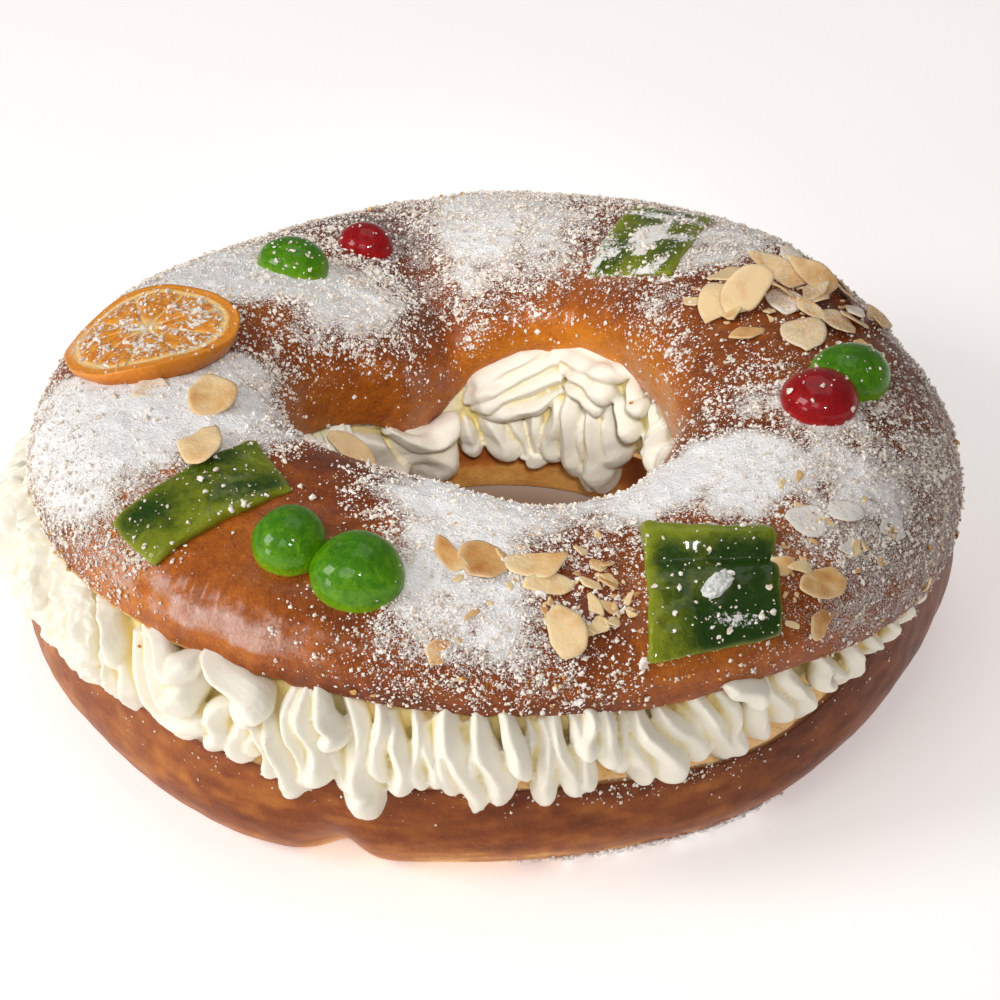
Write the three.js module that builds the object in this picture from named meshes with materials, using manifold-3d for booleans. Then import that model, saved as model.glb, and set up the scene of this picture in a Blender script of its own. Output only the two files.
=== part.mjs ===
// A king cake: a ring of glazed sweet bread, split and filled with piped whipped cream, and dressed
// with a dried orange slice, candied peel, candied cherries and flaked almonds.
// Millimetres, +Z up. The origin lies on the table under the middle of the ring; -Y is the front.

import * as THREE from 'three';
import { mergeVertices } from 'three/addons/utils/BufferGeometryUtils.js';
import Module from 'manifold-3d';

const wasm = await Module();
wasm.setup();

// Places on the ring go by the angle round it, in degrees, 0 at +X and 90 at the back, and on the
// crown by the place across it, from 0 at the outer side to 1 at the side towards the hole.
// A wave gives a size round the ring: a mean, harmonics [count, size, angle of the crest] and
// local swells [angle, half width, size].
const CROWN_OUTER = {
  mean: 139.2, harmonics: [[2, 6, 90], [3, 5.2, -30]], swells: [[42, 26, 4], [-6, 16, 2.5]],
};
const CROWN_INNER = {
  mean: 54.2, harmonics: [[1, 3.2, -69], [2, 4.8, 43], [3, 5.9, -42.5]], swells: [[-72, 26, 9]],
};
const CROWN_TOP = {
  mean: 87.2, harmonics: [[1, 6.8, -97], [2, 5.2, 12]], swells: [[-72, 28, -4], [45, 25, 2], [156, 18, 4.5]],
};
const CROWN_FOOT_OUTER = {
  mean: 57.5, harmonics: [[1, 9, -150]], swells: [[-55, 16, 3], [120, 30, -6], [-90, 25, -1.5]],
};
const CROWN_FOOT_INNER = {
  mean: 54, harmonics: [[1, 4, 0]], swells: [[118, 26, -14], [-165, 40, 9]],
};
const CROWN_LEAN = -2.6;
const CROWN_UNDERCUT = 0.25;
const CROWN_SIDE_POWER = 0.85;
const CROWN_HEIGHT_POWER = 0.9;
const CROWN_STEPS = { around: 60, over: 13, under: 2 };

// Swells and creases of the dough: place, half widths (degrees and share of the way across), height,
// and how far the crease drifts round the ring from one side of the crown to the other.
const CROWN_RELIEF = [
  { angle: 106, across: 0.78, wide: 6, deep: 0.26, height: -5, drift: -22 },
  { angle: 68, across: 0.86, wide: 4, deep: 0.2, height: -3, drift: -5 },
  { angle: 137, across: 0.84, wide: 20, deep: 0.2, height: 3.5, drift: 0 },
  { angle: 87, across: 0.74, wide: 10, deep: 0.26, height: 2, drift: 0 },
  { angle: 42, across: 0.8, wide: 18, deep: 0.24, height: 1.5, drift: 0 },
  { angle: -118, across: 0.17, wide: 12, deep: 0.12, height: 2.5, drift: 0 },
  { angle: -133, across: 0.38, wide: 8, deep: 0.22, height: -1.5, drift: 0 },
  { angle: -62, across: 0.28, wide: 9, deep: 0.2, height: -1.2, drift: 0 },
];

const BASE_OUTER = {
  mean: 137.5, harmonics: [],
  swells: [[180, 35, 2], [-120, 16, 4.5], [-75, 28, -3.5], [-38, 18, -5], [-18, 12, -2.5]],
};
const BASE_RIM = {
  mean: 27.3, harmonics: [[1, 4, -100]], swells: [[-130, 30, 4], [-12, 27, 19], [-55, 12, -3]],
};
const BASE_TUCK = { mean: 13, harmonics: [], swells: [[-20, 35, 9]] };
const BASE_INNER = { mean: 61.5, harmonics: [[2, 1.5, 20], [3, 1, 80]], swells: [] };
const BASE_INNER_RIM = { mean: 22, harmonics: [[1, 2, -60]], swells: [[10, 40, 6]] };
const BASE_BELLY = 2.5;
const BASE_ROUND_SHARE = 0.6;
const BASE_INNER_ROUND = 5;
const BASE_STEPS = { around: 60, outside: 6, top: 2, inside: 3, bottom: 1 };
const BASE_CLEFT = { angle: -108.4, wide: 3.2, share: 0.1, tall: 0.4, depth: 8 };

// Where the middle of the hole lies, so that the whole cake is centred on the origin.
const RING_MIDDLE = { x: 2.9, y: -4.5 };

// The gap left between two neighbouring pieces, and how deep a flat topping is bedded in the dough.
const GAP = 0.3;
const TOPPING_SINK = 0.8;

// Piped cream: a ring whose two sides are rows of swirls, each a group of rounded ridges that lean
// and bulge between base and crown. Setback and bulge go by the angle, as waves.
const CREAM_OUTER = {
  ridgesPerSwirl: 3, columnsPerRidge: 2, groove: 2.6, rows: 5, slant: 3,
  setback: { mean: 2.5, harmonics: [], swells: [[0, 30, 13], [-58, 16, 4]] },
  bulge: { mean: 9, harmonics: [], swells: [[0, 32, -6], [-58, 14, -3], [-163, 20, 5]] },
};
const CREAM_INNER = {
  ridgesPerSwirl: 3, columnsPerRidge: 4, groove: 2.4, rows: 5, slant: 7,
  setback: { mean: 1.2, harmonics: [], swells: [] },
  bulge: { mean: 6, harmonics: [], swells: [[62, 20, 3], [160, 30, -2]] },
  droop: { mean: 1.5, harmonics: [], swells: [[55, 13, 15], [88, 9, 6], [20, 12, 5]] },
};
const CREAM_COLUMNS = 180;
const CREAM_GAP = 1;
const CREAM_LIP = 3;
const CREAM_HOLLOW = 0.38;
const CREAM_SIZE_SPREAD = 0.4;
const CREAM_SEED = 11;

// The orange slice: half sizes towards the hole and round the ring, and the share of the rind's
// thickness that its middle has.
const ORANGE = {
  angle: 181.4, across: 0.45, long: 24, wide: 26.5, thick: 4.6, middle: 0.72, ripple: 0.7, turn: 6,
};
const ORANGE_SIDES = 22;

// Pieces of peel: length towards the hole, width, thickness and turn; how much narrower the inner end
// is, how far its middle line leans aside and how much longer one side is than the other.
const PEELS = [
  {
    name: 'candied_peel_1', angle: -132.4, across: 0.385, long: 43, wide: 22.3, thick: 4.5, turn: -15,
    taper: -0.1, skew: -1, slope: -0.04,
  },
  {
    name: 'candied_peel_2', angle: -61.8, across: 0.32, long: 37.8, wide: 32.6, thick: 4.5, turn: -16,
    taper: 0.04, skew: 3, slope: -0.17,
  },
  {
    name: 'candied_peel_3', angle: 58.5, across: 0.52, long: 44.8, wide: 30, thick: 4.5, turn: 5.7,
    taper: -0.08, skew: -2.2, slope: -0.06,
  },
];
const PEEL_STEPS = { long: 8, wide: 4 };
const PEEL_THINNING = 0.14;
const WALK_STRIDES = 10;
const ACROSS_STEP = 0.01;

const CHERRIES = [
  { name: 'green_cherry_2', angle: -107.2, across: 0.327, radius: 12.2, sink: 0.45, color: 'green' },
  { name: 'green_cherry_1', angle: -116.9, across: 0.353, radius: 10.3, sink: 0.37, color: 'green' },
  { name: 'green_cherry_3', angle: 134.8, across: 0.483, radius: 11.3, sink: 0.42, color: 'green' },
  { name: 'red_cherry_2', angle: -20.4, across: 0.486, radius: 10.2, sink: 0.35, color: 'red' },
  { name: 'green_cherry_4', angle: -11.2, across: 0.44, radius: 11.5, sink: 0.37, color: 'green' },
  { name: 'red_cherry_1', angle: 114.9, across: 0.473, radius: 8.8, sink: 0.45, color: 'red' },
];
const CHERRY_STEPS = { around: 12, rows: 7 };
const CHERRY_SQUAT = 0.86;

// Flaked almonds: place, turn in degrees, length, and how far the flake is tipped up off the dough.
const FLAKES = [
  [-154.5, 0.6, 60, 15, 6], [-158, 0.52, 10, 12, 0],
  [-96, 0.47, 20, 13, 8], [-91.5, 0.46, 70, 14, 4], [-86, 0.44, 0, 16, 6], [-82.5, 0.41, 40, 14, 12],
  [-78, 0.37, 80, 9, 0], [-81.5, 0.235, 100, 14, 10], [-76.5, 0.27, 20, 10, 6], [-97.5, 0.17, 60, 10, 0],
  [-43.5, 0.38, 20, 15, 0], [-38.5, 0.37, 70, 12, 0], [-50.5, 0.185, 30, 16, 14], [-51, 0.09, 60, 10, 10],
  [-37, 0.27, 0, 11, 0],
  [34, 0.54, 20, 13, 5], [24, 0.62, 100, 16, 12], [17, 0.57, 70, 17, 10], [25, 0.52, 30, 12, 4],
  [29.5, 0.46, 120, 15, 8], [19.5, 0.47, 130, 15, 6], [23, 0.4, 110, 17, 14], [21.5, 0.34, 125, 18, 12],
  [9, 0.49, 10, 14, 0], [11, 0.41, 170, 13, 5], [16, 0.31, 100, 14, 8], [31, 0.645, 0, 9, 0],
];
const FLAKE = { widthShare: 0.68, thick: 1.1, cup: 0.8, sides: 8, embed: 0.35, lean: 0.42 };

const FINISHES = {
  crust: { color: 0x9c5526, roughness: 0.35, metalness: 0 },
  crumb: { color: 0xa5622f, roughness: 0.5, metalness: 0 },
  cream: { color: 0xf6f0da, roughness: 0.45, metalness: 0 },
  orange: { color: 0xd9822b, roughness: 0.4, metalness: 0 },
  peel: { color: 0x3f7f2a, roughness: 0.3, metalness: 0 },
  green: { color: 0x2f9a2c, roughness: 0.2, metalness: 0 },
  red: { color: 0xb3162a, roughness: 0.2, metalness: 0 },
};

const radians = THREE.MathUtils.degToRad;
const mix = THREE.MathUtils.lerp;
const UP = new THREE.Vector3(0, 0, 1);

function angleBetween(a, b) {
  return ((a - b + 540) % 360) - 180;
}

function wave(spec, angle) {
  let size = spec.mean;
  for (const [count, height, crest] of spec.harmonics) {
    size += height * Math.cos(radians(count * (angle - crest)));
  }
  for (const [at, width, height] of spec.swells) {
    size += height * Math.exp(-((angleBetween(angle, at) / width) ** 2));
  }
  return size;
}

function signedPower(value, power) {
  return Math.sign(value) * Math.abs(value) ** power;
}

// A steady stream of numbers from 0 to 1 for one seed.
function seededNumbers(seed) {
  let state = seed;
  return () => {
    state = (state + 0x6d2b79f5) | 0;
    let mixed = Math.imul(state ^ (state >>> 15), 1 | state);
    mixed = (mixed + Math.imul(mixed ^ (mixed >>> 7), 61 | mixed)) ^ mixed;
    return ((mixed ^ (mixed >>> 14)) >>> 0) / 2 ** 32;
  };
}

function around(angle, radius, height) {
  return new THREE.Vector3(radius * Math.cos(radians(angle)), radius * Math.sin(radians(angle)), height);
}

// Solids are made from rows of points and joined or cut as exact bodies.
function signedVolume(points, triangles) {
  const cross = new THREE.Vector3();
  let volume = 0;
  for (const [a, b, c] of triangles) {
    volume += cross.crossVectors(points[b], points[c]).dot(points[a]);
  }
  return volume;
}

function bodyFrom(points, triangles) {
  const inward = signedVolume(points, triangles) < 0;
  const corners = triangles.flatMap(([a, b, c]) => (inward ? [a, c, b] : [a, b, c]));
  const mesh = new wasm.Mesh({
    numProp: 3,
    vertProperties: new Float32Array(points.flatMap((point) => point.toArray())),
    triVerts: new Uint32Array(corners),
  });
  return new wasm.Manifold(mesh);
}

// A body swept round the ring: section(angle) gives the same number of points in a closed loop.
function ringBody(steps, section) {
  const points = [];
  let across = 0;
  for (let i = 0; i < steps; i += 1) {
    const loop = section((360 * i) / steps - 180);
    across = loop.length;
    points.push(...loop);
  }
  const triangles = [];
  for (let i = 0; i < steps; i += 1) {
    const next = (i + 1) % steps;
    for (let k = 0; k < across; k += 1) {
      const beside = (k + 1) % across;
      const corners = [i * across + k, next * across + k, next * across + beside, i * across + beside];
      triangles.push([corners[0], corners[1], corners[2]], [corners[0], corners[2], corners[3]]);
    }
  }
  return bodyFrom(points, triangles);
}

// A closed body from a plain geometry, each of whose corners is moved to its place on the cake.
function bodyOf(geometry, place) {
  geometry.deleteAttribute('normal');
  geometry.deleteAttribute('uv');
  const merged = mergeVertices(geometry);
  const position = merged.getAttribute('position');
  const points = [];
  for (let i = 0; i < position.count; i += 1) {
    points.push(place(new THREE.Vector3().fromBufferAttribute(position, i)));
  }
  const triangles = [];
  for (let i = 0; i < merged.index.count; i += 3) {
    const [a, b, c] = merged.index.array.slice(i, i + 3);
    if (a !== b && b !== c && c !== a) {
      triangles.push([a, b, c]);
    }
  }
  return bodyFrom(points, triangles);
}

function reliefAt(angle, across) {
  let height = 0;
  for (const mark of CROWN_RELIEF) {
    const centre = mark.angle + mark.drift * (across - mark.across);
    const sideways = angleBetween(angle, centre) / mark.wide;
    const along = (across - mark.across) / mark.deep;
    height += mark.height * Math.exp(-(sideways ** 2) - along ** 2);
  }
  return height;
}

// The crown's radius and height at a place, before it is turned round the ring.
function crownProfile(angle, across, lift = 0) {
  const turn = Math.PI * across;
  const outer = wave(CROWN_OUTER, angle);
  const inner = wave(CROWN_INNER, angle);
  const share = (1 - Math.cos(THREE.MathUtils.clamp(turn, 0, Math.PI))) / 2;
  const foot = mix(wave(CROWN_FOOT_OUTER, angle), wave(CROWN_FOOT_INNER, angle), share);
  const low = Math.sin(CROWN_UNDERCUT) ** CROWN_HEIGHT_POWER;
  const rise = (signedPower(Math.sin(turn), CROWN_HEIGHT_POWER) + low) / (1 + low);
  const raise = lift + reliefAt(angle, across);
  const half = (outer - inner) / 2;
  return {
    radius: (outer + inner) / 2 + half * signedPower(Math.cos(turn), CROWN_SIDE_POWER)
      + CROWN_LEAN * Math.sin(turn) + raise * Math.cos(turn),
    height: foot + (wave(CROWN_TOP, angle) - foot) * rise + raise * Math.sin(turn),
  };
}

function crownPoint(angle, across, lift = 0) {
  const { radius, height } = crownProfile(angle, across, lift);
  return around(angle, radius, height);
}

// The frame that a topping lies in: x round the ring, y towards the hole, z out of the dough.
function crownFrame(angle, across) {
  const origin = crownPoint(angle, across);
  const inward = crownPoint(angle, across + 0.02).sub(crownPoint(angle, across - 0.02)).normalize();
  const along = crownPoint(angle + 1.5, across).sub(crownPoint(angle - 1.5, across)).normalize();
  const up = new THREE.Vector3().crossVectors(along, inward).normalize();
  const side = new THREE.Vector3().crossVectors(inward, up).normalize();
  return new THREE.Matrix4().makeBasis(side, inward, up).setPosition(origin);
}

function crownRing() {
  const end = 1 + CROWN_UNDERCUT / Math.PI;
  const start = -CROWN_UNDERCUT / Math.PI;
  return ringBody(CROWN_STEPS.around, (angle) => {
    const loop = [];
    for (let k = 0; k <= CROWN_STEPS.over; k += 1) {
      loop.push(crownPoint(angle, mix(start, end, k / CROWN_STEPS.over)));
    }
    const first = loop[0];
    const last = loop[loop.length - 1];
    for (let k = 1; k <= CROWN_STEPS.under; k += 1) {
      loop.push(last.clone().lerp(first, k / (CROWN_STEPS.under + 1)));
    }
    return loop;
  });
}

// The radius of the base's outer side at a share of its height.
function baseSide(angle, share) {
  const rounding = Math.min(share / BASE_ROUND_SHARE, 1);
  const tuck = wave(BASE_TUCK, angle) * (1 - Math.sqrt(1 - (1 - rounding) ** 2));
  const cleft = angleBetween(angle, BASE_CLEFT.angle) / BASE_CLEFT.wide;
  const low = (share - BASE_CLEFT.share) / BASE_CLEFT.tall;
  const notch = BASE_CLEFT.depth * Math.exp(-(cleft ** 2) - low ** 2);
  return wave(BASE_OUTER, angle) + BASE_BELLY * Math.sin(Math.PI * share) - tuck - notch;
}

function baseRing() {
  const steps = BASE_STEPS;
  return ringBody(steps.around, (angle) => {
    const rim = wave(BASE_RIM, angle);
    const innerRim = wave(BASE_INNER_RIM, angle);
    const inner = wave(BASE_INNER, angle);
    const loop = [];
    for (let k = 0; k <= steps.outside; k += 1) {
      const share = (k / steps.outside) ** 1.4;
      loop.push(around(angle, baseSide(angle, share), rim * share));
    }
    const corner = baseSide(angle, 1);
    for (let k = 1; k <= steps.top; k += 1) {
      const share = k / (steps.top + 1);
      loop.push(around(angle, mix(corner, inner, share), mix(rim, innerRim, share)));
    }
    for (let k = 0; k <= steps.inside; k += 1) {
      const turn = (Math.PI / 2) * (k / steps.inside);
      const radius = inner + BASE_INNER_ROUND * (1 - Math.cos(turn));
      loop.push(around(angle, radius, innerRim * (1 - Math.sin(turn))));
    }
    const from = inner + BASE_INNER_ROUND;
    for (let k = 1; k <= steps.bottom; k += 1) {
      const share = k / (steps.bottom + 1);
      loop.push(around(angle, mix(from, baseSide(angle, 0), share), 0));
    }
    return loop;
  });
}

// A cherry: a round fruit, flatter than wide, with its foot sunk in the dough.
function cherryBody(spec, grow) {
  const frame = crownFrame(spec.angle, spec.across);
  const radius = spec.radius + grow;
  const tall = spec.radius * CHERRY_SQUAT + grow;
  const centre = spec.radius * CHERRY_SQUAT * (1 - 2 * spec.sink);
  const ball = new THREE.SphereGeometry(1, CHERRY_STEPS.around, CHERRY_STEPS.rows);
  return bodyOf(ball, ({ x, y, z }) => {
    const turn = Math.atan2(z, x);
    const plump = radius * (1 + 0.03 * Math.cos(2 * turn + spec.angle) + 0.02 * Math.cos(3 * turn + 1));
    return new THREE.Vector3(plump * x, plump * z, centre + tall * y).applyMatrix4(frame);
  });
}

// A point of the dough under a topping: x and y are millimetres from the topping's middle, walked
// straight ahead over the dough in short strides.
function underTopping(spec, x, y, lift) {
  const place = { angle: spec.angle, across: spec.across };
  const turned = new THREE.Vector3(x, y, 0).applyAxisAngle(UP, radians(spec.turn));
  const stride = turned.length() / WALK_STRIDES;
  const heading = turned.transformDirection(crownFrame(spec.angle, spec.across));
  for (let i = 0; i < WALK_STRIDES && stride > 0; i += 1) {
    const here = crownPoint(place.angle, place.across);
    const round = crownPoint(place.angle + 1, place.across).sub(here);
    const over = crownPoint(place.angle, place.across + ACROSS_STEP).sub(here);
    const skew = round.dot(over);
    const area = round.lengthSq() * over.lengthSq() - skew * skew;
    const turns = (heading.dot(round) * over.lengthSq() - heading.dot(over) * skew) / area;
    const steps = (heading.dot(over) * round.lengthSq() - heading.dot(round) * skew) / area;
    heading.copy(round).multiplyScalar(turns).addScaledVector(over, steps);
    const share = stride / heading.length();
    place.angle += turns * share;
    place.across += steps * share * ACROSS_STEP;
    heading.normalize();
  }
  return crownPoint(place.angle, place.across, lift);
}

// A piece of peel: a slab that follows the dough.
function peelBody(spec, grow) {
  const slab = new THREE.BoxGeometry(2, 2, 2, PEEL_STEPS.wide, PEEL_STEPS.long, 1);
  return bodyOf(slab, ({ x, y, z }) => {
    const wide = spec.wide * (1 - spec.taper * y) + 2 * grow;
    const long = spec.long * (1 + spec.slope * x) + 2 * grow;
    const thick = spec.thick * (1 - PEEL_THINNING * (1 - Math.cos(2.2 * y + 1.3 * x)));
    const lift = z < 0 ? -TOPPING_SINK - grow : thick + grow;
    return underTopping(spec, (x * wide) / 2 + spec.skew * y, (y * long) / 2, lift);
  });
}

// The dried orange slice: a thin wheel with a raised rind and slightly wavy edge.
function orangeBody(grow) {
  const half = [0, 0.45, 0.8, 1];
  const outline = [
    ...half.map((share) => new THREE.Vector2(share, -1)),
    ...half.toReversed().map((share) => new THREE.Vector2(share, 1)),
  ];
  return bodyOf(new THREE.LatheGeometry(outline, ORANGE_SIDES), ({ x, y, z }) => {
    const share = Math.hypot(x, z);
    const turn = Math.atan2(z, x);
    const reach = 1 + 0.025 * Math.cos(3 * turn + 0.6);
    const wavy = ORANGE.ripple * Math.cos(4 * turn) * share;
    const dish = ORANGE.thick * (ORANGE.middle + (1 - ORANGE.middle) * share ** 4) + wavy;
    const lift = y < 0 ? -TOPPING_SINK - grow : dish + grow;
    return underTopping(ORANGE, x * reach * (ORANGE.wide + grow), z * reach * (ORANGE.long + grow), lift);
  });
}

// One almond flake: a thin cupped oval, tipped up at one end and bedded in the dough.
function flakeBody([angle, across, turn, length, tip]) {
  const raise = Math.sin(radians(tip)) * length * FLAKE.lean - FLAKE.embed;
  const place = crownFrame(angle, across)
    .multiply(new THREE.Matrix4().makeRotationZ(radians(turn)))
    .multiply(new THREE.Matrix4().makeTranslation(0, 0, raise))
    .multiply(new THREE.Matrix4().makeRotationX(radians(tip)));
  const disc = new THREE.CylinderGeometry(1, 1, 2, FLAKE.sides);
  return bodyOf(disc, ({ x, y, z }) => {
    const cup = FLAKE.cup * (x * x - z * z);
    const wide = (length / 2) * FLAKE.widthShare * x;
    const long = (length / 2) * (z + 0.12 * (x * x - z * z));
    return new THREE.Vector3(wide, long, cup + (y < 0 ? 0 : FLAKE.thick)).applyMatrix4(place);
  });
}

// Heights of the two cut faces, the crown's underside and the base's top, at a radius.
function crownUnderside(angle, radius) {
  const start = crownProfile(angle, -CROWN_UNDERCUT / Math.PI);
  const end = crownProfile(angle, 1 + CROWN_UNDERCUT / Math.PI);
  const share = THREE.MathUtils.clamp((start.radius - radius) / (start.radius - end.radius), 0, 1);
  return mix(start.height, end.height, share);
}

function baseTop(angle, radius) {
  const outer = baseSide(angle, 1);
  const inner = wave(BASE_INNER, angle);
  const share = THREE.MathUtils.clamp((outer - radius) / (outer - inner), 0, 1);
  return mix(wave(BASE_RIM, angle), wave(BASE_INNER_RIM, angle), share);
}

// How far one column of a side of the cream stands out: ridges in groups, with a furrow between.
function ridgeReach(side, column, sizes) {
  const perSwirl = side.ridgesPerSwirl * side.columnsPerRidge;
  const swirl = Math.floor(column / perSwirl);
  const within = ((column % perSwirl) + 0.5) / perSwirl;
  const phase = (column % side.columnsPerRidge) / side.columnsPerRidge;
  return {
    furrow: side.groove * (1 - Math.abs(Math.cos(Math.PI * phase))),
    size: sizes[swirl] * (1 - CREAM_HOLLOW * (1 - Math.sin(Math.PI * within))),
  };
}

// One column of the cream's side, from the base up to the crown.
function creamSide(side, column, facing, sizes) {
  const middle = (360 * column) / CREAM_COLUMNS - 180;
  const { furrow, size } = ridgeReach(side, column, sizes);
  const points = [];
  for (let row = 0; row <= side.rows; row += 1) {
    const rise = row / side.rows;
    const angle = middle + side.slant * (rise - 0.5);
    const rim = facing > 0 ? baseSide(angle, 1) : wave(BASE_INNER, angle);
    const foot = rim - facing * wave(side.setback, angle);
    const edge = crownProfile(angle, facing > 0 ? -CROWN_UNDERCUT / Math.PI : 1 + CROWN_UNDERCUT / Math.PI);
    const head = edge.radius - facing * CREAM_LIP;
    const swell = Math.sin(Math.PI * (0.04 + 0.84 * rise)) ** 0.7;
    const out = (wave(side.bulge, angle) * size - furrow) * swell;
    const radius = mix(foot, head, rise) + facing * out;
    const low = baseTop(angle, radius) + CREAM_GAP;
    const high = crownUnderside(angle, radius) - CREAM_GAP;
    points.push(around(angle, radius, mix(low, high, rise)));
  }
  return points;
}

// The lip of cream that hangs over the base's edge into the hole, below a column of the inner side.
function creamDroop(column, sizes) {
  const side = CREAM_INNER;
  const angle = (360 * column) / CREAM_COLUMNS - 180 - side.slant / 2;
  const { furrow, size } = ridgeReach(side, column, sizes);
  const rim = wave(BASE_INNER, angle) - CREAM_GAP;
  const height = wave(BASE_INNER_RIM, angle);
  const thick = 1.5 + wave(side.bulge, angle) * size * 0.55 - furrow * 0.4;
  return [
    around(angle, rim - thick, height - wave(side.droop, angle) * (0.8 + 0.2 * size)),
    around(angle, rim, height + CREAM_GAP),
    around(angle, rim + CREAM_LIP, baseTop(angle, rim + CREAM_LIP) + CREAM_GAP),
  ];
}

function swirlSizes(side, random) {
  const count = CREAM_COLUMNS / (side.ridgesPerSwirl * side.columnsPerRidge);
  return Array.from({ length: count }, () => 1 + CREAM_SIZE_SPREAD * (random() - 0.5));
}

function creamBody() {
  const random = seededNumbers(CREAM_SEED);
  const outerSizes = swirlSizes(CREAM_OUTER, random);
  const innerSizes = swirlSizes(CREAM_INNER, random);
  let column = -1;
  return ringBody(CREAM_COLUMNS, () => {
    column += 1;
    const outer = creamSide(CREAM_OUTER, column, 1, outerSizes);
    const inner = creamSide(CREAM_INNER, column, -1, innerSizes).reverse();
    return [...outer, ...inner.slice(0, -1), ...creamDroop(column, innerSizes)];
  });
}

// The largest connected piece of a body, without loose scraps.
function largestPiece(body) {
  const pieces = body.decompose();
  return pieces.reduce((best, piece) => (piece.volume() > best.volume() ? piece : best));
}

function geometryOf(body) {
  const mesh = body.getMesh();
  const geometry = new THREE.BufferGeometry();
  geometry.setAttribute('position', new THREE.BufferAttribute(mesh.vertProperties.slice(), 3));
  geometry.setIndex(new THREE.BufferAttribute(mesh.triVerts.slice(), 1));
  return mergeVertices(geometry);
}

const cake = new THREE.Group();
cake.position.set(RING_MIDDLE.x, RING_MIDDLE.y, 0);

function addPiece(name, body, finish) {
  const mesh = new THREE.Mesh(geometryOf(body), new THREE.MeshStandardMaterial(FINISHES[finish]));
  mesh.name = name;
  cake.add(mesh);
}

addPiece('base_bread', baseRing(), 'crumb');
addPiece('cream', creamBody(), 'cream');

let crown = crownRing();
for (const flake of FLAKES) {
  crown = crown.add(flakeBody(flake));
}
crown = crown.subtract(orangeBody(GAP));
for (const peel of PEELS) {
  crown = crown.subtract(peelBody(peel, GAP));
}
for (const cherry of CHERRIES) {
  crown = crown.subtract(cherryBody(cherry, GAP));
}
addPiece('crown_bread', largestPiece(crown), 'crust');

addPiece('orange_slice', orangeBody(0), 'orange');
for (const peel of PEELS) {
  addPiece(peel.name, peelBody(peel, 0), 'peel');
}
const placed = [];
for (const cherry of CHERRIES) {
  let body = cherryBody(cherry, 0);
  for (const earlier of placed) {
    body = body.subtract(cherryBody(earlier, GAP));
  }
  placed.push(cherry);
  addPiece(cherry.name, largestPiece(body), cherry.color);
}

export default cake;
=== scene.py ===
"""Looks for a cream-filled king cake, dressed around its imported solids.

Sizes in the classes are millimetres in the ring's own frame, whose upright axis runs through the
middle of the hole; Skin.make turns them into metres in the frame of the solids.
"""

import logging
import math
from dataclasses import dataclass, field
from enum import Enum
from typing import Any, Mapping, Sequence

import bpy
import numpy as np
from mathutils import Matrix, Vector


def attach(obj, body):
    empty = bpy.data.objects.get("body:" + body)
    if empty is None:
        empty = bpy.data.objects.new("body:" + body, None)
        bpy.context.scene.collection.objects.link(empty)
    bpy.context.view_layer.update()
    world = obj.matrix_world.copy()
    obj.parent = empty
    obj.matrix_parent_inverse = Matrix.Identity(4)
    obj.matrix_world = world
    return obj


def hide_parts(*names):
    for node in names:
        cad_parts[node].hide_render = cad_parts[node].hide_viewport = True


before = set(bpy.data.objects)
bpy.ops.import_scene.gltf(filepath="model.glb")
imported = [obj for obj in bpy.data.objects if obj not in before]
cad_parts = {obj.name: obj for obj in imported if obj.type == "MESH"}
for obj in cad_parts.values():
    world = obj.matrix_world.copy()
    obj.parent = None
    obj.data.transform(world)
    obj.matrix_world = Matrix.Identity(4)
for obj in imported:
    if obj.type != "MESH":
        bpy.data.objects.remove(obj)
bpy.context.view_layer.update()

Array = np.ndarray
Triple = tuple[float, float, float]
Color = Triple

MM = 0.001
BODY = "root"
RING_MIDDLE = np.array([2.9, -4.5, 0.0])

log = logging.getLogger("king_cake")


class Slot(Enum):
    """Material slots of the record."""

    BASE = "base_crust"
    CREAM = "cream"
    CROWN = "crown_crust"
    ORANGE = "orange"
    PEEL = "peel"
    GREEN = "green_cherry"
    RED = "red_cherry"


def turn_between(angle: Array, at: Array | float) -> Array:
    """Returns the signed turn in degrees from one angle to another."""
    return (angle - at + 540.0) % 360.0 - 180.0


def hump(angle: Array, at: Array | float, width: Array | float, power: int = 2) -> Array:
    """Returns a hump of height 1 round a ring angle, flatter on top for a higher power."""
    return np.exp(-((turn_between(angle, at) / width) ** power))


def smooth_step(value: Array, low: float, high: float) -> Array:
    """Returns 0 below low, 1 above high and an even rise between them."""
    share = np.clip((value - low) / (high - low), 0.0, 1.0)
    return share * share * (3.0 - 2.0 * share)


def signed_power(value: Array, power: float) -> Array:
    """Returns the power of a size with the sign kept."""
    return np.sign(value) * np.abs(value) ** power


def mix(low: Array | float, high: Array | float, share: Array | float) -> Array:
    """Returns the value at a share of the way from low to high."""
    return low + (high - low) * share


def unit(vectors: Array) -> Array:
    """Returns vectors scaled to a length of one."""
    return vectors / np.maximum(np.linalg.norm(vectors, axis=-1, keepdims=True), 1e-9)


def around(angle: Array, radius: Array, height: Array) -> Array:
    """Returns points from ring angles in degrees, radii and heights."""
    turn = np.radians(angle)
    return np.stack([radius * np.cos(turn), radius * np.sin(turn), height + 0.0 * turn], axis=-1)


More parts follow.
